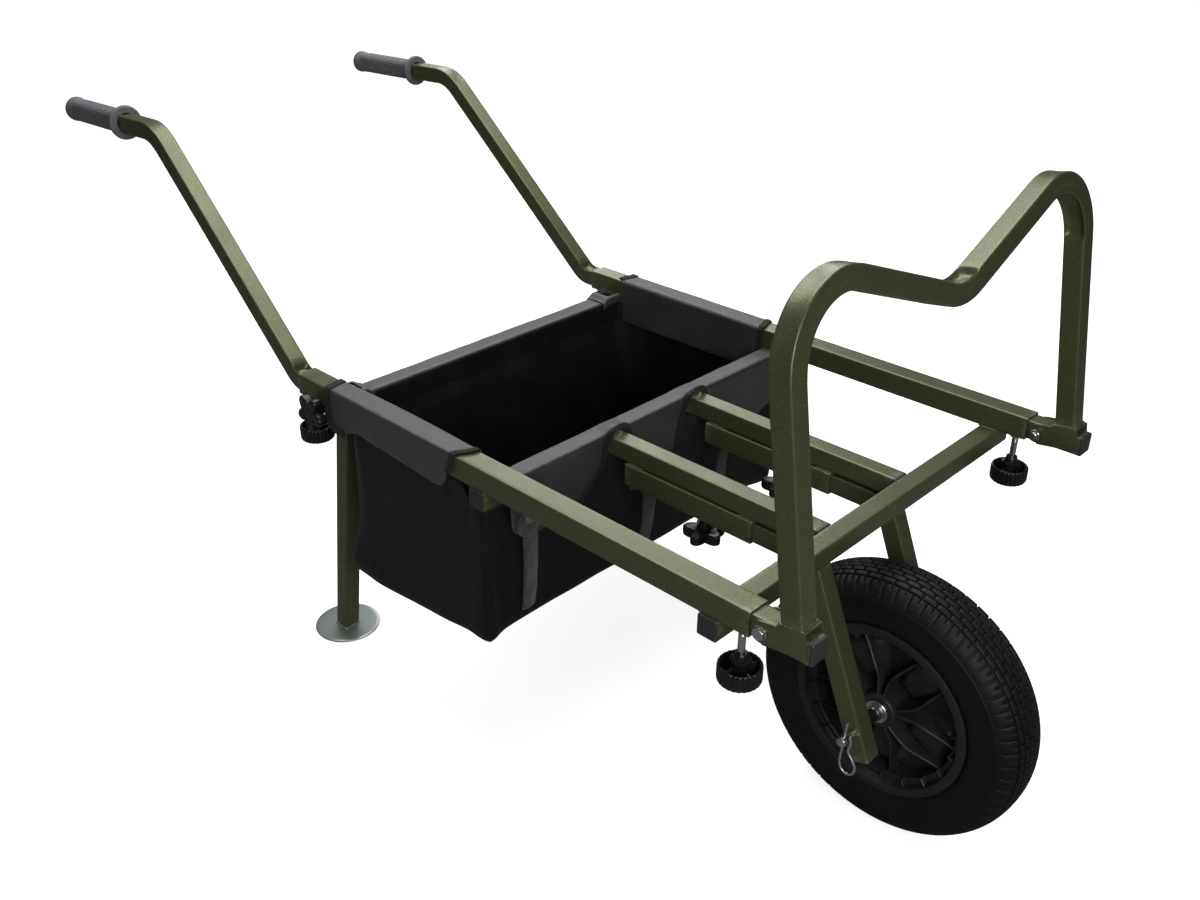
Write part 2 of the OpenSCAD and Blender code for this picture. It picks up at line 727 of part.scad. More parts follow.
// Spring clip: a straight prong through the axle, a loop below and a waved prong in front of it
module r_clip() {
    w = clip_wire / 2;
    wave = axle_r + w + 0.1;
    lower = wave * [cos(clip_hug), -sin(clip_hug)];
    loop_end = [2 * clip_loop_r, -clip_loop_drop];
    rise = lower - loop_end;
    color("silver") in_place() translate([axle_x, clip_y, axle_z]) rotate([90, 0, 0]) {
        translate([0, -clip_loop_drop, 0]) rotate([-90, 0, 0])
            cylinder(h = clip_loop_drop + clip_prong_up, r = w, $fn = 24);
        rotate([0, 0, -clip_hug]) rotate_extrude(angle = 2 * clip_hug, $fn = smooth)
            translate([wave, 0]) circle(r = w, $fn = 24);
        translate([clip_loop_r, -clip_loop_drop, 0]) rotate([0, 0, 180])
            rotate_extrude(angle = 180, $fn = smooth) translate([clip_loop_r, 0]) circle(r = w, $fn = 24);
        translate([loop_end.x, loop_end.y, 0]) rotate([0, 0, atan2(rise.y, rise.x)]) rotate([0, 90, 0])
            cylinder(h = norm(rise), r = w, $fn = 24);
        translate([lower.x, -lower.y, 0]) rotate([0, 0, clip_tip_turn]) rotate([0, 90, 0])
            cylinder(h = clip_tip_len, r = w, $fn = 24);
    }
}

module wheel_bearings() {
    color("silver") in_place() translate([axle_x, 0, axle_z])
        for (s = [0, 1]) mirror([0, s, 0]) difference() {
            pin_y(hub_w / 2 - bearing_w, hub_w / 2, bearing_r);
            pin_y(0, hub_w, axle_r + run_gap);
        }
}

// Point on the oval outline of the tyre section, with its crown and sidewalls
function tyre_point(a, inset) =
    let (up = sin(a) > 0 ? wheel_r - tyre_mid_r : tyre_mid_r - seat_r + tyre_bead_drop,
         across = pow(abs(cos(a)), tyre_power) * sign(cos(a)),
         out = pow(abs(sin(a)), tyre_power) * sign(sin(a)))
        [tyre_mid_r + (up - inset) * out, (tyre_w / 2 - inset) * across];
module tyre_outline(inset) {
    polygon([for (a = [0:7.5:352.5]) tyre_point(a, inset)]);
}
module tyre() {
    color("dimgray") in_place() translate([axle_x, 0, axle_z]) rotate([90, 0, 0])
        rotate_extrude($fn = 120) difference() {
            tyre_outline(0);
            tyre_outline(tyre_wall);
            translate([seat_r - tyre_w, -tyre_w]) square([tyre_w, 2 * tyre_w]);
            translate([seat_r - 1, bead_width - flange_in])
                square([tyre_wall + tyre_bead_drop, 2 * (flange_in - bead_width)]);
        }
}

// Section of the inner tube, drawn in by skin
module tube_ring(skin) {
    intersection() {
        tyre_outline(tyre_wall + inner_gap + skin);
        translate([seat_r + 2 * inner_gap + skin, -tyre_w]) square([wheel_r, 2 * tyre_w]);
    }
}

module inner_tube() {
    color("dimgray") in_place() translate([axle_x, 0, axle_z]) rotate([90, 0, 0])
        rotate_extrude($fn = 120) difference() {
            tube_ring(0);
            tube_ring(inner_wall);
        }
}

// Point in the wheel's plane at a radius and an angle
function on_wheel(r, a) = [r * cos(a), r * sin(a)];

// Kneed rib of the rim, straight out from the hub and then bent away to the barrel
module spoke(s) {
    line = [on_wheel(hub_d / 2 - 1, s * spoke_hub_turn), on_wheel(spoke_knee_r, s * spoke_knee_turn),
            on_wheel(seat_r - rim_wall + 1, s * spoke_end_turn)];
    linear_extrude(2 * flange_in - 2 * web_t, center = true)
        for (i = [0, 1]) {
            along = way(line[i], line[i + 1]);
            across = spoke_t / 2 * [-along.y, along.x];
            a = line[i] - i * spoke_t / 4 * along;
            b = line[i + 1];
            polygon([a + across, a - across, b - across, b + across]);
        }
}

// Moulded rim: barrel with two flanges, hub, web and pairs of kneed ribs
module rim() {
    flange_r = rim_flange_d / 2;
    barrel_r = seat_r - rim_wall;
    hub_r_out = hub_d / 2;
    color("dimgray") in_place() translate([axle_x, 0, axle_z]) rotate([90, 0, 0]) difference() {
        union() {
            rotate_extrude($fn = 120) {
                translate([barrel_r, -flange_in]) square([rim_wall, 2 * flange_in]);
                for (s = [0, 1]) mirror([0, s])
                    translate([barrel_r, flange_in]) square([flange_r - barrel_r, rim_wall]);
                translate([axle_r + 2, -hub_w / 2]) square([hub_r_out - axle_r - 2, hub_w]);
                translate([hub_r_out - 1, -web_t / 2]) square([barrel_r - hub_r_out + 2, web_t]);
            }
            for (k = [0:spoke_pairs - 1], s = [-1, 1])
                rotate([0, 0, 90 + 360 * k / spoke_pairs]) spoke(s);
        }
        for (s = [0, 1]) mirror([0, 0, s]) translate([0, 0, hub_w / 2 - bearing_w])
            cylinder(h = bearing_w + 1, r = bearing_r, $fn = smooth);
    }
}

// Cloth tub: side sheets, a long sheet for front, floor and rear, and sleeves round the tubes

module sheet_xz(points, width) {
    rotate([90, 0, 0]) linear_extrude(width, center = true) polygon(points);
}

module hem(x, width) {
    outer = tube + 2 * (cloth_gap + cloth_t);
    translate([x, 0, cross_z]) cube([outer, width, outer], center = true);
}

module tub() {
    t = cloth_t;
    flap_front = tub_front_x - tube;
    wrap_rear = tub_rear_x - wrap_overhang;
    side = [
        [wrap_rear, t], [flap_front + flap_nose, t], [flap_front - flap_back, -flap_depth],
        [flap_front - flap_back, hem_low - 1], [tub_front_x + t, hem_low - 1],
        [tub_front_low_x + t, -tub_front_depth], [tub_low_x, -tub_mid_depth],
        [tub_rear_x + tub_rear_lean, -tub_rear_depth], [tub_rear_x, -flap_depth], [wrap_rear, -flap_depth]
    ];
    outside = [
        [tub_rear_x, hem_top], [tub_rear_x + tub_rear_lean, -tub_rear_depth], [tub_low_x, -tub_mid_depth],
        [tub_front_low_x + t, -tub_front_depth], [tub_front_x + t, hem_low], [tub_front_x + t, hem_top]
    ];
    inside = [
        [tub_front_x, hem_top], [tub_front_x, hem_low], [tub_front_low_x, -tub_front_depth + t],
        [tub_low_x, -tub_mid_depth + t], [tub_rear_x + tub_rear_lean + t, -tub_rear_depth + t],
        [tub_rear_x + t, hem_top]
    ];
    flap_len = flap_front - cloth_gap - cloth_t - tub_rear_x;
    side_in = frame_w / 2 - sleeve - cloth_gap;
    clear = tube + 2 * cloth_gap;
    tube_cut_h = tube + 2 * weld_gap + sleeve + cloth_t;
    leg_cut_h = 2 * (leg_sleeve_drop + leg_sleeve_len + leg_clear);
    color("dimgray") in_place() difference() {
        union() {
            for (s = [-1, 1]) translate([0, s * (side_y + t / 2), 0]) sheet_xz(side, t);
            sheet_xz(concat(outside, inside), 2 * side_y + t);
            hem(mid_cross_x, 2 * side_in);
            hem(rear_cross_x, 2 * hem_half);
            translate([rear_cross_x + tube / 2, -hem_half, hem_top - t])
                cube([tub_rear_gap + t, 2 * hem_half, t]);
            for (s = [0, 1]) mirror([0, s, 0]) {
                translate([wrap_rear, side_in, cloth_gap])
                    cube([flap_len + wrap_overhang, side_y - side_in + t, t]);
                translate([tub_rear_x, side_in - t, -flap_depth])
                    cube([flap_len, t, flap_depth + cloth_gap + t]);
            }
        }
        for (s = [-1, 1]) {
            translate([-rail_len / 2, s * rail_y, -sleeve / 2])
                cube([rail_len + 2, sleeve + 2 * cloth_gap, sleeve + 2 * cloth_gap], center = true);
            translate([-mid_cross_back / 2, s * centre_y, cross_z])
                cube([mid_cross_back, tube + 2 * weld_gap, tube_cut_h], center = true);
            along_leg(s) cube([sleeve + leg_clear, sleeve + leg_clear / 2, leg_cut_h], center = true);
        }
        for (x = [mid_cross_x, rear_cross_x])
            translate([x, 0, cross_z]) cube([clear, frame_w + 4 * cap_flange, clear], center = true);
    }
}

rail(1);  // rail_left
rail(-1);  // rail_right
crossbar(front_cross_x, frame_w);  // crossbar_front
crossbar(mid_cross_x, frame_w);  // crossbar_mid
crossbar(rear_cross_x, 2 * leg_y - sleeve);  // crossbar_rear
central_tube(1);  // central_tube_left
central_tube(-1);  // central_tube_right
fork_sleeve(1);  // fork_sleeve_left
fork_sleeve(-1);  // fork_sleeve_right
crossbar_caps();
central_plugs();
clamp_nuts();
leg_sleeve(1);  // leg_sleeve_left
leg_sleeve(-1);  // leg_sleeve_right
leg(1);  // leg_left
leg(-1);  // leg_right
foot_disc(1);  // foot_disc_left
foot_disc(-1);  // foot_disc_right
at_leg_knob(1) translate([0, 0, leg_hub]) star_knob();  // leg_knob_left
at_leg_knob(-1) translate([0, 0, leg_hub]) star_knob();  // leg_knob_right
at_leg_knob(1) stud(leg_hub + hub_len);  // leg_stud_left
at_leg_knob(-1) stud(leg_hub + hub_len);  // leg_stud_right
at_fork_knob(1) translate([0, 0, fork_hub]) star_knob();  // fork_knob_left
at_fork_knob(-1) translate([0, 0, fork_hub]) star_knob();  // fork_knob_right
at_fork_knob(1) stud(fork_hub + hub_len);  // fork_stud_left
at_fork_knob(-1) stud(fork_hub + hub_len);  // fork_stud_right
at_rail_knob(1, handle_knob_x) translate([0, 0, rail_hub]) round_knob();  // handle_knob_left
at_rail_knob(-1, handle_knob_x) translate([0, 0, rail_hub]) round_knob();  // handle_knob_right
at_rail_knob(1, handle_knob_x) stud(rail_hub + neck_len - 1);  // handle_stud_left
at_rail_knob(-1, handle_knob_x) stud(rail_hub + neck_len - 1);  // handle_stud_right
at_rail_knob(1, -bar_knob_back) translate([0, 0, rail_hub]) round_knob();  // bar_knob_left
at_rail_knob(-1, -bar_knob_back) translate([0, 0, rail_hub]) round_knob();  // bar_knob_right
at_rail_knob(1, -bar_knob_back) stud(rail_hub + neck_len - 1);  // bar_stud_left
at_rail_knob(-1, -bar_knob_back) stud(rail_hub + neck_len - 1);  // bar_stud_right
handle(1, handle_out_left);  // handle_left
handle(-1, handle_out_right);  // handle_right
grip(1, handle_out_left);  // grip_left
grip(-1, handle_out_right);  // grip_right
stub(1);  // stub_left
stub(-1);  // stub_right
stub_plugs();
pivot_bolts();
lock_nuts();
bar_foot(1);  // bar_foot_left
bar_foot(-1);  // bar_foot_right
front_bar();
fork(1);  // fork_left
fork(-1);  // fork_right
axle();
axle_washers();
axle_spacers();
r_clip();
wheel_bearings();
rim();
tyre();
inner_tube();
tub();
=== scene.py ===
# Fishing trolley: the finish and the soft parts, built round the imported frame.
# Metres, +X forward, +Y to the left, +Z up. The dictionaries hold millimetres unless they say otherwise.
import json
import math
import random

import bmesh
import bpy
from mathutils import Matrix, Vector, noise


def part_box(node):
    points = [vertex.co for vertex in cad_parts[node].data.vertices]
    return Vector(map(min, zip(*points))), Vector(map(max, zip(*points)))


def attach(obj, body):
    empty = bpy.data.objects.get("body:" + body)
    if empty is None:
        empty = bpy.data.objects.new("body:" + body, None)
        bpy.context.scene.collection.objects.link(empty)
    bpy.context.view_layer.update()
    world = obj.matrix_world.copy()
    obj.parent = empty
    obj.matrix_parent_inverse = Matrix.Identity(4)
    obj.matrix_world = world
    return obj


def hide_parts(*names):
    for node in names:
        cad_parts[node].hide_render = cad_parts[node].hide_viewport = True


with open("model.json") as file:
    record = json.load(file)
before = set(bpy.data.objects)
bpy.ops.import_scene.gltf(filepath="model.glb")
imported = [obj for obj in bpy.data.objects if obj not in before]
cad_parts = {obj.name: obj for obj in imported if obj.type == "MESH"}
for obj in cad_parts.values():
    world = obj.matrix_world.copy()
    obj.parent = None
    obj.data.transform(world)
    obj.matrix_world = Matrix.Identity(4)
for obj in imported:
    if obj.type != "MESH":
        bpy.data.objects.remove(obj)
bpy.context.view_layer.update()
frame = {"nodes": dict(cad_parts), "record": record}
scene = bpy.context.scene
scene.view_settings.view_transform = "Standard"

railLow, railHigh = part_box("rail_left")
railFront, deckTop = railHigh.x, railHigh.z


def place(x, y, z):
    # Millimetres from the front end of the rail tops, to metres in the frame
    return Vector((railFront + x * 0.001, y * 0.001, deckTop + z * 0.001))


print("camera and light")
# Fitted to the photograph, taken as 1200 x 900
cameraSetup = {
    "spot": (1.118198, -1.041905, 1.118245),  # metres
    "turn": 44.064,                           # degrees from the -Y side
    "lift": 28.609,
    "roll": 0.222,
    "lens": 35.083,
    "sensor": 36.0,
}


def makeCamera(s):
    turn, lift, roll = (math.radians(s[k]) for k in ("turn", "lift", "roll"))
    back = Vector((math.sin(turn) * math.cos(lift), -math.cos(turn) * math.cos(lift), math.sin(lift)))
    right = Vector((math.cos(turn), math.sin(turn), 0))
    up = back.cross(right)
    right, up = right * math.cos(roll) + up * math.sin(roll), up * math.cos(roll) - right * math.sin(roll)
    camera = bpy.data.objects.new("camera", bpy.data.cameras.new("camera"))
    camera.data.lens, camera.data.sensor_width, camera.data.sensor_fit = s["lens"], s["sensor"], "HORIZONTAL"
    camera.matrix_world = Matrix((right, up, back)).transposed().to_4x4()
    camera.location = s["spot"]
    scene.collection.objects.link(camera)
    scene.camera = camera


class NodeDesk:
    # Fills a node tree. As a value, a node stands for its first output, and three numbers for a colour
    def __init__(self, tree):
        self.tree = tree

    def feed(self, socket, value):
        if isinstance(value, bpy.types.Node):
            value = value.outputs[0]
        if isinstance(value, bpy.types.NodeSocket):
            self.tree.links.new(value, socket)
        else:
            socket.default_value = (*value, 1) if isinstance(value, tuple) and len(value) == 3 else value

    def add(self, kind, inputs=None, **settings):
        node = self.tree.nodes.new("ShaderNode" + kind)
        for key, value in settings.items():
            setattr(node, key, value)
        for key, value in (inputs or {}).items():
            self.feed(node.inputs[key], value)
        return node

    def noise(self, scale, detail, roughness=0.5):
        where = self.add("TexCoord").outputs["Object"]
        inputs = {"Vector": where, "Scale": scale, "Detail": detail, "Roughness": roughness}
        return self.add("TexNoise", inputs).outputs["Fac"]

    def ramp(self, value, low, high, first=0.0, last=1.0):
        inputs = {"Value": value, "From Min": low, "From Max": high, "To Min": first, "To Max": last}
        return self.add("MapRange", inputs)

    def spread(self, mask, first, last):
        # Varies a number round the surface by a noise mask
        return self.ramp(mask, 0.3, 0.7, first, last)

    def times(self, a, b):
        return self.add("Math", {0: a, 1: b}, operation="MULTIPLY")

    def mix(self, mask, a, b):
        return self.add("Mix", {0: mask, 6: a, 7: b}, data_type="RGBA").outputs[2]

    def group(self, tree, inputs):
        return self.add("Group", inputs, node_tree=tree).outputs


def newMaterial(name):
    material = bpy.data.materials.new(name)
    material.use_nodes = True
    material.node_tree.nodes.clear()
    return material, NodeDesk(material.node_tree)


# Strengths of the light, tones of the floor, and the metres over which the floor's glow rises
studio = {"fill": 0.10, "back": 1.0, "reach": 14, "seenTone": 0.82, "bounceTone": 0.2, "glow": (0.75, 1.0),
          "glowSpan": (0.9, 2.4)}


def makeWorld():
    # White where the camera looks straight at it, dim for the light that falls on the object
    world = bpy.data.worlds.new("studio")
    world.use_nodes = True
    world.node_tree.nodes.clear()
    desk = NodeDesk(world.node_tree)
    path = desk.add("LightPath").outputs
    seen = desk.add("Math", {0: path["Is Camera Ray"], 1: path["Is Transmission Ray"]}, operation="MAXIMUM")
    dim, bright = (desk.add("Background", {"Color": (1, 1, 1), "Strength": studio[key]})
                   for key in ("fill", "back"))
    desk.add("OutputWorld", {"Surface": desk.add("MixShader", {0: seen, 1: dim, 2: bright})})
    scene.world = world


def makeFloor():
    # Pale where the camera sees it and whiter with distance, darker for the light that it throws back
    material, desk = newMaterial("paleFloor")
    seen = desk.add("LightPath").outputs["Is Camera Ray"]
    tone = desk.ramp(seen, 0, 1, studio["bounceTone"], studio["seenTone"])
    grey = desk.add("CombineColor", {"Red": tone, "Green": tone, "Blue": tone})
    matt, where = desk.add("BsdfDiffuse", {"Color": grey}), desk.add("TexCoord").outputs["Object"]
    away = desk.add("VectorMath", {0: where}, operation="LENGTH").outputs["Value"]
    shine = desk.times(desk.ramp(away, *studio["glowSpan"], *studio["glow"]), seen)
    both = desk.add("AddShader", {0: matt, 1: desk.add("Emission", {"Strength": shine})})
    desk.add("OutputMaterial", {"Surface": both})
    reach, mesh = studio["reach"], bpy.data.meshes.new("floor")
    corners = [(-reach, -reach, 0), (reach, -reach, 0), (reach, reach, 0), (-reach, reach, 0)]
    mesh.from_pydata(corners, [], [(0, 1, 2, 3)])
    mesh.materials.append(material)
    floor = bpy.data.objects.new("floor", mesh)
    scene.collection.objects.link(floor)


def areaLight(name, spot, aim, size, power):
    lamp = bpy.data.lights.new(name, "AREA")
    lamp.shape, lamp.size, lamp.size_y, lamp.energy = "RECTANGLE", size[0], size[1], power
    light = bpy.data.objects.new(name, lamp)
    light.location = spot
    light.rotation_euler = (Vector(aim) - Vector(spot)).to_track_quat("-Z", "Y").to_euler()
    scene.collection.objects.link(light)


makeCamera(cameraSetup)
makeWorld()
areaLight("overheadBox", (-0.5, 0.5, 2.6), (-0.1, 0, 0.3), (2.2, 1.8), 50)
areaLight("backBox", (-2.0, 2.2, 1.9), (0, 0, 0.4), (1.6, 1.2), 20)
areaLight("frontBox", (2.0, -1.3, 1.4), (0.1, 0, 0.4), (1.2, 1.2), 25)
makeFloor()

print("finishes")


def effectGroup(name, inputs, outputs):
    # A node group of plain numbers: its desk, what it is given and what it gives
    tree = bpy.data.node_groups.new(name, "ShaderNodeTree")
    for label, value in inputs.items():
        tree.interface.new_socket(label, in_out="INPUT", socket_type="NodeSocketFloat").default_value = value
    for label in outputs:
        tree.interface.new_socket(label, in_out="OUTPUT", socket_type="NodeSocketFloat")
    return NodeDesk(tree), tree.nodes.new("NodeGroupInput").outputs, tree.nodes.new("NodeGroupOutput").inputs


def makeGrainGroup():
    # Two sizes of grain: Height for bump, Mask for colour and roughness
    desk, given, out = effectGroup("fineGrain", {"Scale": 900.0, "Coarse Scale": 60.0}, ("Height", "Mask"))
    desk.feed(out["Height"], desk.noise(given["Scale"], 2.0, 0.6))
    desk.feed(out["Mask"], desk.noise(given["Coarse Scale"], 3.0))
    return desk.tree


def makeWearAndHighlightGroup():
    # Worn edges with painted edge highlights: a mask on convex edges, broken up by noise
    desk, given, out = effectGroup("edgeWearAndPaintedHighlight", {"Amount": 0.5, "Break Up": 90.0}, ("Mask",))
    edge = desk.ramp(desk.add("NewGeometry").outputs["Pointiness"], 0.52, 0.62)
    speck = desk.ramp(desk.noise(given["Break Up"], 4.0), 0.35, 0.65)
    desk.feed(out["Mask"], desk.times(desk.times(edge, speck), given["Amount"]))
    return desk.tree


def makeDustGroup():
    # Thin dust that settles on faces that look up
    desk, given, out = effectGroup("settledDust", {"Amount": 0.2, "Scale": 25.0}, ("Mask",))
    up = desk.add("SeparateXYZ", {"Vector": desk.add("NewGeometry").outputs["Normal"]}).outputs["Z"]
    cloud = desk.ramp(desk.noise(given["Scale"], 5.0), 0.3, 0.8)
    desk.feed(out["Mask"], desk.times(desk.times(desk.ramp(up, 0.2, 1.0), cloud), given["Amount"]))
    return desk.tree


grainGroup, wearAndHighlightGroup, dustGroup = makeGrainGroup(), makeWearAndHighlightGroup(), makeDustGroup()
shaderSockets = {"metallic": "Metallic", "coat": "Coat Weight", "coatRough": "Coat Roughness",
                 "specular": "Specular IOR Level", "sheen": "Sheen Weight", "sheenRough": "Sheen Roughness"}


def yarns(desk, where, scale):
    # Yarns cross along the cloth: thin waves along all three axes, of which each face shows two
    inputs = {"Vector": where, "Scale": scale, "Distortion": 0.6}
    x, y, z = (desk.add("TexWave", inputs, wave_type="BANDS", bands_direction=axis).outputs["Fac"]
               for axis in "XYZ")
    return desk.add("Math", {0: desk.add("Math", {0: x, 1: y}, operation="ADD"), 1: z}, operation="ADD")


def makeFinish(name, s):
    # Colour patches, worn edges lightened partly as painted highlights, and dust over a grain, with flakes or a
    # weave where the surface has them
    material, desk = newMaterial(name)
    shader = desk.add("BsdfPrincipled", {socket: s[key] for key, socket in shaderSockets.items() if key in s})
    desk.add("OutputMaterial", {"Surface": shader})
    where, tone = desk.add("TexCoord").outputs["Object"], s["colour"]
    grain = desk.group(grainGroup, {"Scale": s["grainScale"], "Coarse Scale": s["patchScale"]})
    if "flake" in s:
        cells = desk.add("TexVoronoi", {"Vector": where, "Scale": s["flakeScale"]}).outputs["Color"]
        shown = desk.ramp(desk.add("SeparateColor", {"Color": cells}), 0.55, 1.0, 0.0, s["flake"])
        tone = desk.mix(shown, tone, s["flakeColour"])
    tone = desk.mix(desk.spread(grain["Mask"], 0.0, s["patch"]), tone, s["patchColour"])
    if "wearAndHighlight" in s:
        # Convex edges take the lighter edge colour: partly wear, partly a painted highlight along the edges
        wornAndHighlitEdges = desk.group(wearAndHighlightGroup, {"Amount": s["wearAndHighlight"], "Break Up": s["breakUp"]})["Mask"]
        tone = desk.mix(wornAndHighlitEdges, tone, s["edgeWearHighlightColour"])
    if "dust" in s:
        dust = desk.group(dustGroup, {"Amount": s["dust"], "Scale": s["dustScale"]})["Mask"]
        tone = desk.mix(dust, tone, s["dustColour"])
    desk.feed(shader.inputs["Base Color"], tone)
    rough = desk.spread(grain["Mask"], s["rough"] - s["smoother"], s["rough"] + s["rougher"])
    desk.feed(shader.inputs["Roughness"], rough)
    relief = {"Strength": s["bump"], "Distance": s["depth"], "Height": grain["Height"]}
    if "weaveScale" in s:
        creases = desk.add("Bump", {"Strength": s["crease"], "Distance": 0.004, "Height": grain["Mask"]})
        relief.update({"Height": yarns(desk, where, s["weaveScale"]), "Normal": creases})
    desk.feed(shader.inputs["Normal"], desk.add("Bump", relief))
    return material


powderCoat = {
    "patchScale": 14.0, "patch": 0.15, "breakUp": 120.0, "dustScale": 18.0, "dustColour": (0.33, 0.32, 0.28),
    "smoother": 0.04, "rougher": 0.05, "depth": 0.0004, "metallic": 0.5, "coatRough": 0.12,
    "flakeScale": 1100.0}
# The lighter edge colour stands for worn paint and for a painted highlight along the edges
olive = {
    **powderCoat, "colour": (0.106, 0.113, 0.056), "patchColour": (0.076, 0.083, 0.04),
    "flakeColour": (0.22, 0.23, 0.11), "edgeWearHighlightColour": (0.5, 0.52, 0.4), "rough": 0.36, "coat": 0.1,
    "flake": 0.5, "grainScale": 420.0, "bump": 0.35, "wearAndHighlight": 0.35, "dust": 0.04}
olivePaint = makeFinish("olivePowderCoat", olive)
# Same coat with no lighter edge mark, so neither wear nor painted highlight on its edges
barePaint = makeFinish("olivePowderCoatEvenEdges", {**olive, "wearAndHighlight": 0.0})
discPaint = makeFinish("footDiscCoat", {
    **powderCoat, "colour": (0.29, 0.335, 0.315), "patchColour": (0.22, 0.26, 0.24),
    "flakeColour": (0.33, 0.37, 0.35), "edgeWearHighlightColour": (0.5, 0.54, 0.52), "rough": 0.33, "coat": 0.7,
    "flake": 0.4, "grainScale": 300.0, "bump": 0.3, "wearAndHighlight": 0.3, "dust": 0.08})

mouldedPlastic = {
    "patchScale": 40.0, "patch": 0.5, "breakUp": 160.0, "dustScale": 40.0, "dustColour": (0.2, 0.2, 0.19),
    "smoother": 0.05, "rougher": 0.06, "depth": 0.0003}
plugPlastic = makeFinish("plugPlastic", {
    **mouldedPlastic, "colour": (0.030, 0.030, 0.031), "patchColour": (0.045, 0.045, 0.047),
    "edgeWearHighlightColour": (0.14, 0.14, 0.145), "grainScale": 1400.0, "rough": 0.42, "specular": 0.5, "bump": 0.25,
    "wearAndHighlight": 0.5, "dust": 0.05})
knobPlastic = makeFinish("knobPlastic", {
    **mouldedPlastic, "colour": (0.007, 0.007, 0.0077), "patchColour": (0.013, 0.013, 0.0138),
    "edgeWearHighlightColour": (0.05, 0.05, 0.053), "grainScale": 900.0, "rough": 0.30, "specular": 0.45, "bump": 0.12,
    "wearAndHighlight": 0.4, "dust": 0.015})
rimPlastic = makeFinish("rimPlastic", {
    **mouldedPlastic, "colour": (0.016, 0.016, 0.0175), "patchColour": (0.024, 0.024, 0.026),
    "edgeWearHighlightColour": (0.06, 0.06, 0.065), "grainScale": 1200.0, "rough": 0.40, "specular": 0.45, "bump": 0.2,
    "wearAndHighlight": 0.35, "dust": 0.05})
gripRubber = makeFinish("gripRubber", {
    **mouldedPlastic, "colour": (0.16, 0.163, 0.18), "patchColour": (0.195, 0.198, 0.216),
    "edgeWearHighlightColour": (0.27, 0.273, 0.29), "grainScale": 2200.0, "rough": 0.55, "specular": 0.4, "bump": 0.3,
    "wearAndHighlight": 0.4, "dust": 0.1})
tyreRubber = makeFinish("tyreRubber", {
    **mouldedPlastic, "colour": (0.0045, 0.0045, 0.005), "patchColour": (0.008, 0.008, 0.0087),
    "edgeWearHighlightColour": (0.022, 0.022, 0.023), "grainScale": 1800.0, "rough": 0.54, "specular": 0.29, "bump": 0.35,
    "wearAndHighlight": 0.3, "dust": 0.03})


def plating(name, colour, rough):
    return makeFinish(name, {
        "colour": colour, "patchColour": tuple(c * 0.72 for c in colour), "edgeWearHighlightColour": (0.86, 0.87, 0.88),
        "grainScale": 700.0, "patchScale": 120.0, "patch": 1, "wearAndHighlight": 0.5, "breakUp": 260.0, "rough": rough,
        "smoother": 0.06, "rougher": 0.1, "bump": 0.15, "depth": 0.0002, "metallic": 1.0})


zinc = plating("zincPlate", (0.66, 0.68, 0.70), 0.26)
bearingSteel = plating("bearingSteel", (0.45, 0.45, 0.46), 0.3)
clipWire = plating("clipWire", (0.80, 0.82, 0.84), 0.32)

coatedCloth = {"grainScale": 260.0, "patchScale": 22.0, "patch": 1, "dustScale": 14.0, "smoother": 0.06,
               "rougher": 0.08, "depth": 0.0003, "sheenRough": 0.45}
tubCloth = makeFinish("tubCloth", {
    **coatedCloth, "colour": (0.0042, 0.0042, 0.0048), "patchColour": (0.0075, 0.0075, 0.0085),
    "dustColour": (0.03, 0.03, 0.032), "weaveScale": 480.0, "rough": 0.5, "specular": 0.28, "sheen": 0.04,
    "bump": 0.35, "crease": 0.25, "dust": 0.10})
# Cloth of the rail wraps, hems and front flaps: lighter than the body's tubCloth, partly its own tone and partly
# painted light for the sheen on these lit outer faces
wrapClothWithPaintedLight = makeFinish("wrapClothWithPaintedLight", {
    **coatedCloth, "colour": (0.030, 0.030, 0.0322), "patchColour": (0.042, 0.042, 0.0448),
    "dustColour": (0.085, 0.085, 0.087), "weaveScale": 480.0, "rough": 0.36, "specular": 0.8, "sheen": 0.12,
    "bump": 0.35, "crease": 0.35, "dust": 0.12})
hemCloth = makeFinish("hemTape", {
    **coatedCloth, "colour": (0.009, 0.009, 0.0098), "patchColour": (0.015, 0.015, 0.0163),
    "dustColour": (0.05, 0.05, 0.052), "weaveScale": 300.0, "rough": 0.66, "specular": 0.25, "sheen": 0.12,
    "bump": 0.7, "crease": 0.4, "dust": 0.1})
fuzzTape = makeFinish("fuzzTape", {
    **coatedCloth, "colour": (0.020, 0.020, 0.021), "patchColour": (0.035, 0.035, 0.036),
    "dustColour": (0.07, 0.07, 0.07), "weaveScale": 220.0, "rough": 0.85, "specular": 0.2, "sheen": 0.4,
    "bump": 1.0, "crease": 0.5, "dust": 0.1})
greyLining = makeFinish("greyLining", {
    **coatedCloth, "colour": (0.10, 0.10, 0.10), "patchColour": (0.20, 0.20, 0.20),
    "dustColour": (0.2, 0.2, 0.2), "weaveScale": 260.0, "rough": 0.7, "specular": 0.3, "sheen": 0.2,
    "bump": 0.9, "crease": 0.9, "dust": 0.1})

slotFinish = {
    "frame_paint": olivePaint, "plug_plastic": plugPlastic, "knob_plastic": knobPlastic, "zinc": zinc,
    "bearing_steel": bearingSteel, "grip_rubber": gripRubber, "rim_plastic": rimPlastic,
    "tyre_rubber": tyreRubber, "tube_rubber": tyreRubber, "tub_cloth": tubCloth}


def dressNodes():
    for part in frame["record"]["subparts"]:
        mesh = frame["nodes"][part["node"]].data
        finish = slotFinish[part["material_slot"]]
        if part["node"].startswith("foot_disc"):
            finish = discPaint
        if part["node"] == "axle_spacers":
            finish = knobPlastic
        mesh.materials.clear()
        mesh.materials.append(finish)


dressNodes()
print("shape helpers")


def smoothStep(t):
    t = min(max(t, 0.0), 1.0)
    return t * t * (3 - 2 * t)


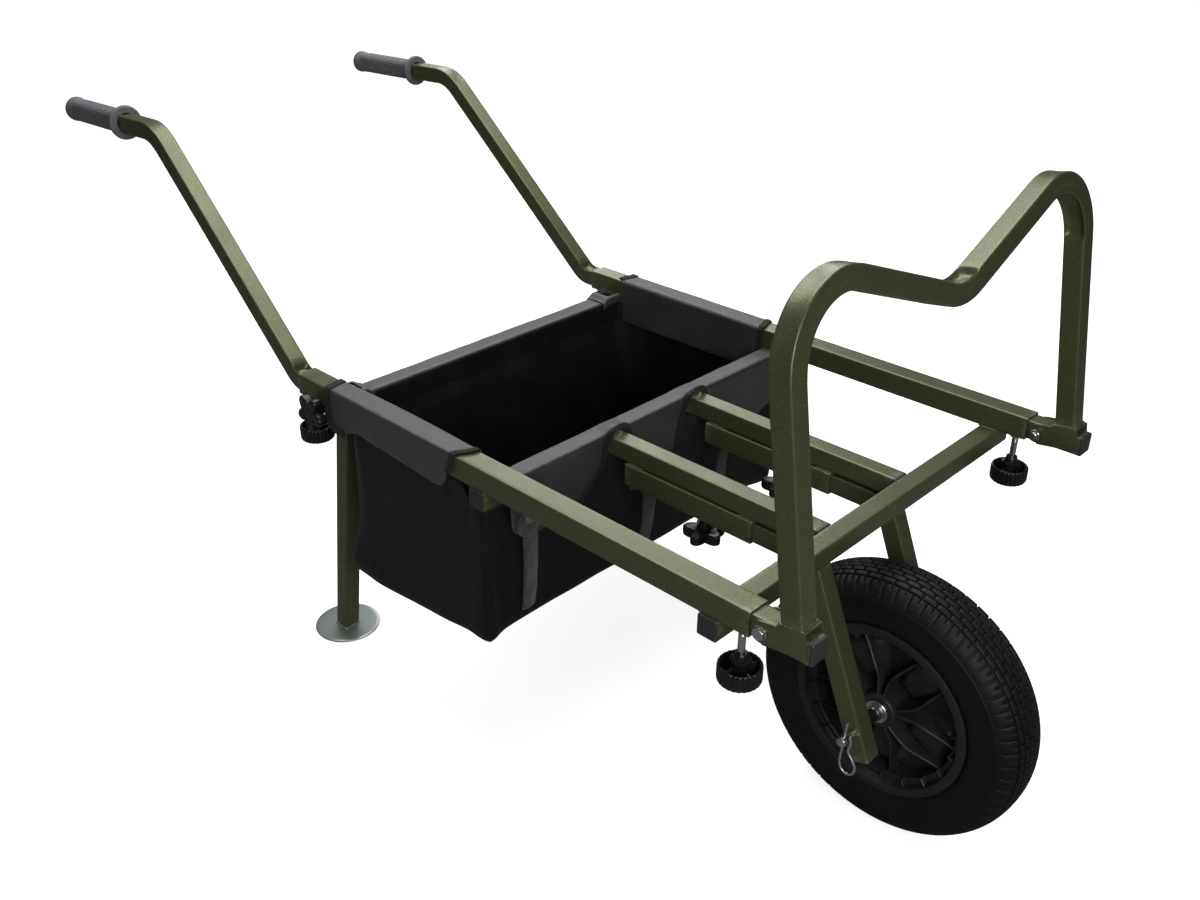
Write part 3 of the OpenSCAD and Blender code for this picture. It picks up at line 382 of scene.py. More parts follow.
def finishPiece(name, mesh, finish, body, nodes=(), sharp=38):
    mesh.materials.append(finish)
    mesh.shade_smooth()
    mesh.set_sharp_from_angle(angle=math.radians(sharp))
    piece = bpy.data.objects.new(name, mesh)
    scene.collection.objects.link(piece)
    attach(piece, body)
    if nodes:
        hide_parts(*nodes)
    return piece


class MeshPile:
    # Collects rings and solids in millimetres, then makes one mesh in metres
    def __init__(self):
        self.points, self.faces = [], []

    def rings(self, rings, closed=True, capStart=False, capEnd=False, loop=False):
        base, count = len(self.points), len(rings[0])
        for ring in rings:
            self.points.extend(ring)
        total = len(rings)
        for i in range(total if loop else total - 1):
            a, b = base + i * count, base + (i + 1) % total * count
            for j in range(count if closed else count - 1):
                k = (j + 1) % count
                self.faces.append((a + j, a + k, b + k, b + j))
        if capStart:
            self.faces.append(tuple(base + j for j in reversed(range(count))))
        if capEnd:
            self.faces.append(tuple(base + (total - 1) * count + j for j in range(count)))
        return self

    def move(self, turn, spot, since=0):
        self.points[since:] = [turn @ Vector(p) + Vector(spot) for p in self.points[since:]]
        return self

    def mesh(self, name):
        mesh = bpy.data.meshes.new(name)
        mesh.from_pydata([place(*p) for p in self.points], [], self.faces)
        work = bmesh.new()
        work.from_mesh(mesh)
        bmesh.ops.remove_doubles(work, verts=work.verts, dist=0.00001)
        bmesh.ops.recalc_face_normals(work, faces=work.faces)
        work.to_mesh(mesh)
        work.free()
        return mesh


def softSquare(side, corner, cornerSteps=4, wallSteps=1):
    # Points (up, across) of a square with round corners
    half, points = side / 2 - corner, []

    def onCorner(quarter, share):
        middle, a = math.radians(45 + 90 * quarter), math.radians(90 * (quarter + share))
        return (math.copysign(half, math.cos(middle)) + corner * math.cos(a),
                math.copysign(half, math.sin(middle)) + corner * math.sin(a))

    for quarter in range(4):
        points += [onCorner(quarter, k / cornerSteps) for k in range(cornerSteps + 1)]
        (u, v), (goalU, goalV) = points[-1], onCorner(quarter + 1, 0)
        shares = [k / wallSteps for k in range(1, wallSteps)]
        points += [(u + (goalU - u) * t, v + (goalV - v) * t) for t in shares]
    return points


def roundRing(radius, steps, z=0.0, bump=None):
    # Points of a circle across +Z at a height, with a radius that bump may change
    ring = []
    for k in range(steps):
        a = 2 * math.pi * k / steps
        r = bump(a, radius, z) if bump else radius
        ring.append((r * math.cos(a), r * math.sin(a), z))
    return ring


def turned(pile, profile, steps, bump=None, capStart=False, capEnd=False):
    # Carries a profile of (radius, height) round the Z axis
    pile.rings([roundRing(r, steps, z, bump) for r, z in profile], capStart=capStart, capEnd=capEnd)
    return pile


def headings(line):
    # Direction of a line at each of its points
    return [(line[min(i + 1, len(line) - 1)] - line[max(i - 1, 0)]).normalized() for i in range(len(line))]


print("bent tubes")
tube = {"side": 25, "wall": 1.5, "corner": 2.2, "innerCorner": 0.8, "sleeve": 30, "sleeveWall": 2,
        "railY": 282.5, "railLen": (railHigh.x - railLow.x) * 1000}


def wallOutlines(size, wall):
    # Side and corner of a tube's outer and inner outline
    return (size, tube["corner"]), (size - 2 * wall, tube["innerCorner"])


def tubeStations(path, radii, straightStep=14, bendStep=3):
    # Stations (point, heading, distance) along a path in a plane, and its bends (start, stop, side)
    path = [Vector(p) for p in path]
    found, bends, travelled, here = [], [], 0.0, path[0]
    for i in range(1, len(path)):
        way = (path[i] - path[i - 1]).normalized()
        heading, turn, cut = math.atan2(way.y, way.x), 0.0, 0.0
        if i < len(path) - 1:
            after = (path[i + 1] - path[i]).normalized()
            turn = math.atan2(way.x * after.y - way.y * after.x, way.dot(after))
            cut = radii[i] * math.tan(abs(turn) / 2)
        length = (path[i] - way * cut - here).length
        count = max(1, math.ceil(length / straightStep))
        for k in range(count):
            found.append((here + way * length * k / count, heading, travelled + length * k / count))
        travelled += length
        here = path[i] - way * cut
        if turn:
            side, radius = math.copysign(1, turn), radii[i]
            centre = here + side * radius * Vector((-math.sin(heading), math.cos(heading)))
            arc = abs(turn) * radius
            bends.append((travelled, travelled + arc, side))
            count = math.ceil(arc / bendStep)
            for k in range(count):
                h = heading + turn * k / count
                spot = centre - side * radius * Vector((-math.sin(h), math.cos(h)))
                found.append((spot, h, travelled + arc * k / count))
            travelled += arc
            h = heading + turn
            here = centre - side * radius * Vector((-math.sin(h), math.cos(h)))
    found.append((here, heading, travelled))
    return found, bends


def pressed(up, across, distance, half, bends, dents):
    # The press pushes in the wall on the inner side of a bend, and its cheeks spread a little
    for (start, stop, side), d in zip(bends, dents):
        rise = smoothStep((distance - start + d["reach"]) / d["ramp"])
        rise *= smoothStep((stop + d["reach"] - distance) / d["ramp"])
        if rise <= 0:
            continue
        inner = up * side / half
        if inner > 0:
            valley = max(0.0, 1 - abs(across / (half - 0.5)) ** 3.5)
            up -= side * d["depth"] * rise * valley * smoothStep((inner - 0.5) / 0.5)
            across += math.copysign(d["cheek"] * rise * math.sin(math.pi * min(inner, 1)), across)
        else:
            up += side * d["flat"] * rise * max(0.0, 1 - (across / half) ** 2)
    return up, across


def bentTube(name, path, radii, dents, turn, spot, body, nodes):
    # Path in the XZ plane, turned and moved to its place; near the dents the stations are close together
    stations, bends = tubeStations(path, radii)
    extra = []
    for (start, stop, _), d in zip(bends, dents):
        extra += [start - d["reach"] + d["ramp"] * k / 4 for k in range(5)]
        extra += [stop + d["reach"] - d["ramp"] * k / 4 for k in range(5)]
    filled = []
    for a, b in zip(stations, stations[1:]):
        filled.append(a)
        for s in sorted(extra):
            if a[2] + 0.5 < s < b[2] - 0.5 and abs(a[1] - b[1]) < 1e-6:
                t = (s - a[2]) / (b[2] - a[2])
                filled.append((a[0].lerp(b[0], t), a[1], s))
    filled.append(stations[-1])
    pile, shells = MeshPile(), []
    for size, corner in wallOutlines(tube["side"], tube["wall"]):
        rings = []
        for point, heading, distance in filled:
            ring = []
            for up, across in softSquare(size, corner, 4, 8):
                up, across = pressed(up, across, distance, size / 2, bends, dents)
                ring.append((point.x - up * math.sin(heading), across, point.y + up * math.cos(heading)))
            rings.append(ring)
        shells.append(rings)
    pile.rings(shells[0] + list(reversed(shells[1])), loop=True)
    pile.move(turn, spot)
    return finishPiece(name, pile.mesh(name), olivePaint, body, nodes, sharp=50)


handle = {
    "held": 185, "out": {"right": 12, "left": 26}, "slope": 40.8, "rise": 426, "endSlope": -1.8, "tail": 94,
    "gripLen": 172, "radii": [0, 34, 62, 0], "lean": 1.6,
    "dents": [{"depth": 6.5, "reach": 4, "ramp": 8, "cheek": 0.35, "flat": 0.8},
              {"depth": 4.5, "reach": 4, "ramp": 10, "cheek": 0.8, "flat": 0.9}]}


def handlePath(out):
    slope, endSlope = math.radians(handle["slope"]), math.radians(handle["endSlope"])
    low = Vector((-tube["railLen"] - out, -tube["sleeve"] / 2))
    top = low + handle["rise"] * Vector((-math.cos(slope), math.sin(slope)))
    end = top + (handle["tail"] + handle["gripLen"] - 6) * Vector((-math.cos(endSlope), math.sin(endSlope)))
    return [(-tube["railLen"] + handle["held"], -tube["sleeve"] / 2), low, top, end]


def handleSeat(sign):
    # Turn and move that lean a handle inward about the middle line of its rail
    turn = Matrix.Rotation(math.radians(sign * handle["lean"]), 3, "X")
    middle = Vector((0, 0, -tube["sleeve"] / 2))
    return turn, Vector((0, sign * tube["railY"], 0)) + middle - turn @ middle


sides = {"left": 1, "right": -1}
for label, sign in sides.items():
    turn, spot = handleSeat(sign)
    bentTube("handleTube_" + label, handlePath(handle["out"][label]), handle["radii"], handle["dents"],
             turn, spot, label + "_handle", ["handle_" + label])

fork = {"rearX": -340.5, "z": -72, "rake": 22.5, "bendR": 22, "tail": 38, "axle": (12, -275.5), "y": 79.5,
        "dents": [{"depth": 5.5, "reach": 5, "ramp": 7, "cheek": 1.0, "flat": 0.8}]}
forkRake, (axleX, axleZ) = math.radians(fork["rake"]), fork["axle"]
forkCorner = (axleX - (fork["z"] - axleZ) * math.tan(forkRake), fork["z"])
forkTip = (axleX + fork["tail"] * math.sin(forkRake), axleZ - fork["tail"] * math.cos(forkRake))
for label, sign in sides.items():
    bentTube("forkTube_" + label, [(fork["rearX"], fork["z"]), forkCorner, forkTip], [0, fork["bendR"], 0],
             fork["dents"], Matrix.Identity(3), (0, sign * fork["y"], 0), "fork", ["fork_" + label])

bar = {"tilt": 8.7, "pivot": (14, -15), "postX": 48.3, "height": 341.5, "dip": 103.8,
       "radii": [0, 74, 78, 74, 0],
       "dents": [{"depth": 5.0, "reach": 6, "ramp": 12, "cheek": 1.0, "flat": 0.8},
                 {"depth": 6.5, "reach": 7, "ramp": 9, "cheek": 1.2, "flat": 0.9},
                 {"depth": 5.0, "reach": 6, "ramp": 12, "cheek": 1.0, "flat": 0.8}]}
barTilt = Matrix.Rotation(math.radians(-bar["tilt"]), 3, "Y")


def barSeat():
    pivot = Vector((bar["pivot"][0], 0, bar["pivot"][1]))
    return barTilt, pivot - barTilt @ pivot


def tiltedPoint(x, y, z):
    turn, spot = barSeat()
    return turn @ Vector((x, y, z)) + spot


railY = tube["railY"]
barTurn, barSpot = barSeat()
barPath = [(-railY, 0), (-railY, bar["height"]), (0, bar["height"] - bar["dip"]), (railY, bar["height"]),
           (railY, 0)]
bentTube("frontBarTube", barPath, bar["radii"], bar["dents"],
         barTurn @ Matrix.Rotation(math.radians(90), 3, "Z"), barSpot + barTurn @ Vector((bar["postX"], 0, 0)),
         "bar", ["front_bar"])

print("grips")
grip = {"length": 172, "side": 31, "corner": 9, "collar": 50, "collarThick": 7, "bore": 14.5, "flare": 16,
        "flutes": 30, "fluteDepth": 0.7, "endRadius": 18.5, "endRound": 6, "steps": 176}


def gripOutline(side, corner, depth):
    ring, half = [], side / 2 - corner
    for k in range(grip["steps"]):
        a = 2 * math.pi * k / grip["steps"]
        c, s = math.cos(a), math.sin(a)
        # Distance to a square with round corners along this direction, by bisection
        low, high = 0.0, side
        for _ in range(22):
            mid = (low + high) / 2
            dx, dy = max(abs(c) * mid - half, 0), max(abs(s) * mid - half, 0)
            if math.hypot(dx, dy) > corner:
                high = mid
            else:
                low = mid
        r = low - depth * (0.5 + 0.5 * math.cos(a * grip["flutes"]))
        ring.append((r * c, r * s))
    return ring


def makeGrip(label, sign):
    steps, end, collar, tip = grip["steps"], grip["length"], grip["collarThick"] / 2, grip["endRound"]
    # Collar with a full round edge
    rings = [roundRing(grip["bore"], steps)]
    for a in (math.pi * k / 8 for k in range(9)):
        radius = grip["collar"] / 2 - collar + collar * math.sin(a)
        rings.append(roundRing(radius, steps, collar * (1 - math.cos(a))))
    pile = MeshPile()
    pile.rings(rings)
    # Sections of the fluted part: (depth of the flutes, height, side)
    neck = [(0, 2.5, grip["side"] + 3), (0, 4.5, grip["side"] + 0.8), (grip["fluteDepth"], 8, grip["side"])]
    body = [(d, grip["collarThick"] + z, s) for d, z, s in neck]
    body += [(grip["fluteDepth"], z, grip["side"]) for z in (40, 80, 120, end - grip["flare"] - 10)]
    body += [(0, end - grip["flare"] - 8, grip["side"] - 0.6)]
    lofted = [[(x, y, z) for x, y in gripOutline(s, grip["corner"] + (s - grip["side"]) / 2, d)]
              for d, z, s in body]
    for t, r in ((0.25, 16.4), (0.55, 17.6), (0.85, 18.4), (1.0, grip["endRadius"])):
        lofted.append(roundRing(r, steps, end - grip["flare"] - 8 + t * (grip["flare"] + 2)))
    for a in (math.pi / 2 * k / 5 for k in range(1, 6)):
        radius = grip["endRadius"] - tip * (1 - math.cos(a))
        lofted.append(roundRing(radius, steps, end - tip + tip * math.sin(a)))
    pile.rings([rings[-1]] + lofted + [roundRing(5, steps, end)], capEnd=True)
    slope = math.radians(handle["endSlope"])
    top = handlePath(handle["out"][label])[2]
    turn, spot = handleSeat(sign)
    local = Matrix.Rotation(math.radians(-90) + slope, 3, "Y")
    start = Vector((top.x, 0, top.y)) + local @ Vector((0, 0, handle["tail"]))
    pile.move(turn @ local, spot + turn @ start)
    finishPiece("grip_" + label + "_rubber", pile.mesh("grip"), gripRubber, label + "_handle",
                ["grip_" + label], sharp=60)


for label, sign in sides.items():
    makeGrip(label, sign)

print("straight tubes and welds")


def straightTube(name, start, stop, size, wall, turn, spot, body, node):
    # Along X from start to stop before it is turned and moved
    pile, shells = MeshPile(), []
    count = max(2, math.ceil((stop - start) / 12))
    for side, corner in wallOutlines(size, wall):
        outline = softSquare(side, corner, 4, 6)
        stations = [start + (stop - start) * k / count for k in range(count + 1)]
        shells.append([[(x, across, up) for up, across in outline] for x in stations])
    pile.rings(shells[0] + list(reversed(shells[1])), loop=True)
    pile.move(turn, spot)
    return finishPiece(name, pile.mesh(name), olivePaint, body, [node], sharp=50)


cross = {"z": -42.5, "frontX": -48.5, "midX": -398.0, "rearX": -714.5, "halfWide": 297.5, "rearHalf": 237.5}
centre = {"y": 79.5, "back": -385.5, "front": -65.5}
forkSleeve = {"front": -150.5, "length": 200, "z": -72}
leg = {"rake": 9.8, "x": -711.5, "y": 252.5, "sleeveDrop": 26, "sleeveLen": 52, "disc": 99, "foot": 3}
stub = {"out": 68, "held": 200, "z": -15}
still, alongY = Matrix.Identity(3), Matrix.Rotation(math.radians(90), 3, "Z")
legTilt = Matrix.Rotation(math.radians(leg["rake"]), 3, "Y")
upright = Matrix.Rotation(math.radians(-90), 3, "Y")
thin, thick = (tube["side"], tube["wall"]), (tube["sleeve"], tube["sleeveWall"])
ground = -deckTop * 1000
for label, sign in sides.items():
    railSpot, centreSpot = (0, sign * railY, -15), (0, sign * centre["y"], cross["z"])
    straightTube("railTube_" + label, -tube["railLen"], 0, *thick, still, railSpot, "frame", "rail_" + label)
    straightTube("centralTube_" + label, centre["back"], centre["front"], *thin, still, centreSpot, "frame",
                 "central_tube_" + label)
    straightTube("forkSleeveTube_" + label, forkSleeve["front"] - forkSleeve["length"], forkSleeve["front"],
                 *thick, still, (0, sign * centre["y"], forkSleeve["z"]), "frame", "fork_sleeve_" + label)
    straightTube("legSleeveTube_" + label, -leg["sleeveDrop"] - leg["sleeveLen"], -leg["sleeveDrop"], *thick,
                 legTilt @ upright, (leg["x"], sign * leg["y"], 0), "frame", "leg_sleeve_" + label)
    straightTube("stubTube_" + label, -stub["held"], stub["out"], *thin, still, (0, sign * railY, stub["z"]),
                 "extension", "stub_" + label)
for x, half, node in ((cross["frontX"], cross["halfWide"], "crossbar_front"),
                      (cross["midX"], cross["halfWide"], "crossbar_mid"),
                      (cross["rearX"], cross["rearHalf"], "crossbar_rear")):
    straightTube(node + "_tube", -half, half, *thin, alongY, (x, 0, cross["z"]), "frame", node)


def makeLeg(label, sign):
    # The foot end is cut level with the disc
    pile, shells, steps = MeshPile(), [], 33
    way, seat = legTilt @ Vector((0, 0, -1)), Vector((leg["x"], sign * leg["y"], 0))
    for side, corner in wallOutlines(*thin):
        rings = []
        for k in range(steps + 1):
            ring = []
            for up, across in softSquare(side, corner, 4, 6):
                top = legTilt @ Vector((up, across, 1.5 - leg["sleeveDrop"])) + seat
                ring.append(top + way * ((top.z - ground - leg["foot"]) / -way.z) * k / steps)
            rings.append(ring)
        shells.append(rings)
    pile.rings(shells[0] + list(reversed(shells[1])), loop=True)
    finishPiece("legTube_" + label, pile.mesh("legTube"), olivePaint, label + "_leg",
                ["leg_" + label], 50)


def makeFootDisc(label, sign):
    # Pressed disc: flat below, with a round edge and a low dish round the weld
    radius = leg["disc"] / 2
    profile = [(6, 0), (radius - 1.6, 0), (radius - 0.5, 0.5), (radius, 1.5), (radius - 0.5, 2.5),
               (radius - 1.6, 3.0), (radius - 6, 3.05), (radius - 9, 3.15), (26, 3.3), (22, 3.3), (6, 3.3)]
    pile = turned(MeshPile(), profile, 96, capStart=True, capEnd=True)
    x = leg["x"] - deckTop * 1000 * math.tan(math.radians(leg["rake"]))
    pile.move(still, (x, sign * leg["y"], ground))
    finishPiece("footPlate_" + label, pile.mesh("footPlate"), discPaint, label + "_leg",
                ["foot_disc_" + label], 35)


for label, sign in sides.items():
    makeLeg(label, sign)
    makeFootDisc(label, sign)


def weldLine(pile, points, radius, closed=False, seed=0):
    # A bead of overlapping ripples along a line of points
    rand = random.Random(seed)
    points = [Vector(p) for p in points]
    if closed:
        points.append(points[0])
    rings = []
    for a, b in zip(points, points[1:]):
        way = (b - a).normalized()
        side = way.cross(Vector((0.3, 0.2, 1))).normalized()
        lift = side.cross(way)
        count = max(3, math.ceil((b - a).length / 0.9))
        for k in range(count + 1):
            phase = (k % 4) / 4
            r = radius * (0.82 + 0.3 * phase) * rand.uniform(0.93, 1.07)
            centreSpot = a.lerp(b, k / count) + side * rand.uniform(-0.12, 0.12)
            rings.append([centreSpot + side * r * math.cos(t) + lift * r * 0.8 * math.sin(t)
                          for t in (2 * math.pi * q / 10 for q in range(10))])
    pile.rings(rings, capStart=not closed, capEnd=not closed)


def makeFrameWelds():
    pile = MeshPile()
    inner, top, low, back = railY - 15, -30, cross["z"], centre["back"]
    for s in (-1, 1):
        for x in (cross["frontX"], cross["midX"]):
            # Under the rails, at both edges of each crossbar. The numbers after the points are the bead's radius
            weldLine(pile, [(x - 11, s * (inner - 0.2), top), (x + 11, s * (inner - 0.2), top)], 1.7, seed=3)
            for edge in (-12.9, 12.9):
                weldLine(pile, [(x + edge, s * inner, top), (x + edge, s * (inner + 29), top)], 1.4, seed=5)
        for edge in (-13.1, 13.1):
            # Central tubes on the middle crossbar, and the sleeves below them
            y, ySleeve = s * centre["y"] + edge, s * centre["y"] + edge * 0.92
            weldLine(pile, [(back, y, low - 11), (back, y, low + 11)], 1.5, seed=7)
            for x in (-172, -346):
                weldLine(pile, [(x, ySleeve, -56), (x + 24, ySleeve, -56)], 1.7, seed=9)
        ends = [(back + 0.3, s * centre["y"] + y, -29.9) for y in (-11, 11)]
        weldLine(pile, ends, 1.5, seed=11)
        # Leg sleeves on the inner side of the rails, and the rear crossbar between them
        for edge in (-15.4, 15.4):
            a, b = (legTilt @ Vector((edge, 0, z)) + Vector((leg["x"], 0, 0)) for z in (-26.5, -31))
            weldLine(pile, [(a.x, s * inner, a.z), (b.x, s * inner, b.z)], 1.6, seed=13)
        ends = [(cross["rearX"] + x, s * (cross["rearHalf"] - 0.4), -29.8) for x in (-11, 11)]
        weldLine(pile, ends, 1.6, seed=15)
    finishPiece("frameWelds", pile.mesh("frameWelds"), olivePaint, "frame", sharp=60)


def squareRound(half):
    return [(-half, -half), (half, -half), (half, half), (-half, half)]


def makeFootWelds():
    middle = leg["x"] + (ground + leg["foot"]) * math.tan(math.radians(leg["rake"]))
    for label, s in sides.items():
        pile = MeshPile()
        points = [(middle + x, s * leg["y"] + y, ground + 3.6) for x, y in squareRound(12.9)]
        weldLine(pile, points, 2.3, True, seed=17)
        finishPiece("footWeld_" + label, pile.mesh("footWeld"), discPaint, label + "_leg",
                    sharp=60)


def makePostWelds():
    pile = MeshPile()
    for s in (-1, 1):
        points = [tiltedPoint(bar["postX"] + x, s * railY + y, 0.3) for x, y in squareRound(12.8)]
        weldLine(pile, points, 1.9, True, seed=19)
    finishPiece("postWelds", pile.mesh("postWelds"), olivePaint, "bar", sharp=60)


makeFrameWelds()
makeFootWelds()
makePostWelds()

print("fasteners and knobs")
bolt = {"flats": 13, "head": 5.5, "nut": 6.5, "thread": 8, "pitch": 1.25, "threadDepth": 0.55}


def hexBlock(pile, low, high, flats, bore=None, lowChamfer=False):
    # Hexagon whose corners a cone cuts off at the high end, and at the low end where it has a chamfer
    corner, cut, face = flats / 2 / math.cos(math.pi / 6), 1.1, flats / 2 * 0.94

    def hexagon(a, cap, z):
        inFlat = (a + math.pi / 6) % (math.pi / 3) - math.pi / 6
        return min(flats / 2 / math.cos(inFlat), cap)

    levels = [(low, corner)]
    if lowChamfer:
        levels = [(low, face), (low + cut * 0.5, (face + corner) / 2), (low + cut, corner)]
    levels += [(high - cut, corner), (high - cut * 0.5, (face + corner) / 2), (high, face)]
    rings = [roundRing(cap, 60, z, hexagon) for z, cap in levels]
    if bore:
        pile.rings([roundRing(bore, 60, low)] + rings + [roundRing(bore, 60, high)], loop=True)
    else:
        pile.rings(rings, capStart=True, capEnd=True)


def threadedRod(pile, low, high, diameter, pitch, plainFrom=None):
    # The thread is a ridge that climbs one pitch each turn; past plainFrom the rod is smooth
    def ridge(a, r, z):
        if plainFrom is not None and z > plainFrom:
            return r
        return r - bolt["threadDepth"] * abs(2 * ((z / pitch - a / (2 * math.pi)) % 1) - 1)

    steps, z = 20, low + 0.6
    rings = [roundRing(diameter / 2 - 1, steps, low)]
    while z < high:
        rings.append(roundRing(diameter / 2, steps, z, ridge))
        z += pitch / 5 if plainFrom is None or z < plainFrom else 4
    pile.rings(rings + [roundRing(diameter / 2 - 0.5, steps, high)], capStart=True, capEnd=True)


knob = {"round": 23.5, "cup": 22, "neck": 14, "flutes": 24, "star": 27, "starThick": 14, "lobes": 5, "hub": 10,
        "sideGap": 6.6, "starTurn": {"leg": 56, "fork": 10}}
knobSpots = {"leg": leg["x"] - 37 * math.tan(math.radians(leg["rake"])), "fork": -230.0, "handle": -757.5,
             "bar": -17.0}
# From the tube's face: the stud's tip, the wall with a little play, and how far a round knob's hub stands off
clampFit = {"tip": 0.1, "wall": 2 + 0.5, "reach": 34}


def makeRoundKnob(pile):
    # Origin at the top of the neck, +Z away from the rail: a fluted cup, open towards the rail
    r, low, high = knob["round"], knob["neck"], knob["neck"] + knob["cup"]

    def flute(a, q, z):
        return q if q < r - 3 else q - 0.85 * (0.5 + 0.5 * math.cos(a * knob["flutes"])) ** 5

    profile = [
        (4.0, high), (r - 8, high), (r - 5, high - 0.4), (r - 2.2, high - 1.2), (r - 0.7, high - 2.8),
        (r, high - 4.8), (r, low + 3), (r - 0.4, low + 1.2), (r - 1.2, low + 0.3), (r - 1.9, low),
        (r - 2.6, low + 0.3), (r - 3.1, low + 1.2), (r - 3.3, high - 4), (r - 4.5, high - 3), (14, high - 3),
        (10.6, high - 4), (9.6, low + 2), (9.0, low - 2), (11.0, low - 3), (11.4, low - 4), (11.2, low - 6),
        (8.4, low - 7.5), (7.6, low - 10), (7.0, 0.6), (6.4, 0), (4.0, 0)]
    turned(pile, profile, 240, flute, capStart=True)
    for q in range(4):
        a = math.radians(90 * q + 20)
        out, flat = Vector((math.cos(a), math.sin(a), 0)), Vector((-math.sin(a), math.cos(a), 0))
        rings = []
        for d, z0 in ((9.0, low + 3), (r - 3.2, low + 4.5)):
            section = ((-0.8, z0), (0.8, z0), (0.8, high - 3), (-0.8, high - 3))
            rings.append([out * d + flat * t + Vector((0, 0, z)) for t, z in section])
        pile.rings(rings, capStart=True, capEnd=True)


def starOutline(a, r, z):
    lobe = 0.5 + 0.5 * math.cos(a * knob["lobes"])
    return r * (0.60 + 0.40 * lobe ** 0.75)


def makeStarKnob(pile):
    # Hub from z = 0, lobes past it with rounded edges and a shallow dish in the end
    r, low, high, steps = knob["star"], knob["hub"], knob["hub"] + knob["starThick"], 180
    levels = [(low + 0.2, 0.86), (low, 0.90), (low + 0.5, 0.955), (low + 1.6, 0.99), (low + 3, 1.0),
              (high - 3.4, 1.0), (high - 1.8, 0.985), (high - 0.7, 0.94), (high - 0.1, 0.87), (high, 0.78),
              (high - 0.2, 0.70), (high - 0.9, 0.62)]
    hub = [(4.0, 0), (6.2, 0), (6.6, 0.5), (7.2, 4), (8.6, low - 1), (10.5, low)]
    end = [(9.5, high - 1.0), (8.5, high - 1.0), (8.0, high - 0.3), (3.0, high - 0.3)]
    hubRings, endRings = ([roundRing(q, steps, z) for q, z in profile] for profile in (hub, end))
    lobes = [roundRing(r * s, steps, z, starOutline) for z, s in levels]
    pile.rings(hubRings + lobes + endRings, capEnd=True)


def clampSeats(sign):
    # Turn and origin of each clamp's stud tip, and the length from the tip to its knob
    tip, wall = clampFit["tip"], clampFit["wall"]
    half = tube["side"] / 2 + tip
    down, outward = Matrix.Rotation(math.pi, 3, "X"), Matrix.Rotation(math.radians(-90 * sign), 3, "X")
    legHub = cross["halfWide"] + knob["sideGap"] - knob["hub"] - leg["y"] - half
    seats = {
        "leg": (outward, (knobSpots["leg"], sign * (leg["y"] + half), -37), legHub),
        "fork": (down, (knobSpots["fork"], sign * fork["y"], fork["z"] - half), wall + bolt["nut"] + 1.5 - tip)}
    for kind in ("handle", "bar"):
        seats[kind] = (down, (knobSpots[kind], sign * railY, -15 - half), wall + clampFit["reach"] - tip)
    return seats


def makeClamps():
    nuts = MeshPile()
    for label, sign in sides.items():
        for kind, (turn, spot, hub) in clampSeats(sign).items():
            body, star = label + "_" + kind + "_clamp", kind in knob["starTurn"]
            head, rod, start = MeshPile(), MeshPile(), len(nuts.points)
            (makeStarKnob if star else makeRoundKnob)(head)
            head.move(Matrix.Rotation(math.radians(knob["starTurn"].get(kind, 0)), 3, "Z"), (0, 0, 0))
            head.move(turn, Vector(spot) + turn @ Vector((0, 0, hub)))
            finishPiece(kind + "Knob_" + label, head.mesh("knob"), knobPlastic, body,
                        [kind + "_knob_" + label], 42)
            threadedRod(rod, 0, hub + 3, bolt["thread"], bolt["pitch"], plainFrom=None if star else 14.5)
            rod.move(turn, spot)
            finishPiece(kind + "Stud_" + label, rod.mesh("stud"), zinc, body,
                        [kind + "_stud_" + label], 40)
            low = clampFit["wall"] - clampFit["tip"]
            hexBlock(nuts, low, low + bolt["nut"], bolt["flats"], bore=bolt["thread"] / 2 + 0.05)
            nuts.move(turn, spot, start)
    finishPiece("clampNuts", nuts.mesh("clampNuts"), zinc, "frame", ["clamp_nuts"], 30)


def makePivots():
    heads, nuts, shank = MeshPile(), MeshPile(), 15.2
    for s in (-1, 1):
        outward = Matrix.Rotation(math.radians(-90 * s), 3, "X")
        spot = Vector((bar["pivot"][0], s * railY, bar["pivot"][1]))
        start = len(heads.points)
        hexBlock(heads, shank, shank + bolt["head"], bolt["flats"])
        turned(heads, [(7.6, shank - 0.15), (8.0, shank + 0.3), (8.0, shank + 0.9), (6, shank + 1.2)], 48)
        threadedRod(heads, -shank - bolt["nut"] - 2, shank, bolt["thread"], bolt["pitch"], plainFrom=-shank + 3)
        heads.move(outward, spot, start)
        start = len(nuts.points)
        hexBlock(nuts, -shank - bolt["nut"], -shank, bolt["flats"], bore=bolt["thread"] / 2, lowChamfer=True)
        nuts.move(outward, spot, start)
    finishPiece("pivotBoltSet", heads.mesh("pivotBoltSet"), zinc, "extension", ["pivot_bolts"], 30)
    finishPiece("lockNutSet", nuts.mesh("lockNutSet"), zinc, "extension", ["lock_nuts"], 30)


plug = {"core": 21.8, "depth": 10, "side": 25}


def softPlug(pile, turn, spot, flange, crown=0.8):
    # Square cap along +X: core in the tube, flange with softly rounded edges outside
    start, core, depth, side = len(pile.points), plug["core"], plug["depth"], plug["side"]
    sections = [
        (-depth, core - 1, 1), (-depth + 1, core, 1), (-0.1, core, 1), (0, core, 1), (0, 24.4, 2.0),
        (0.3, side, 2.2), (flange - 1.4, side, 2.2), (flange - 0.6, 24.4, 2.4), (flange - 0.1, 23.0, 2.6),
        (flange, 20.5, 3), (flange + crown * 0.4, 14, 4), (flange + crown * 0.5, 6, 2)]
    rings = [[(x, across, up) for up, across in softSquare(s, corner, 5, 4)] for x, s, corner in sections]
    pile.rings(rings, capStart=True, capEnd=True)
    pile.move(turn, spot, start)


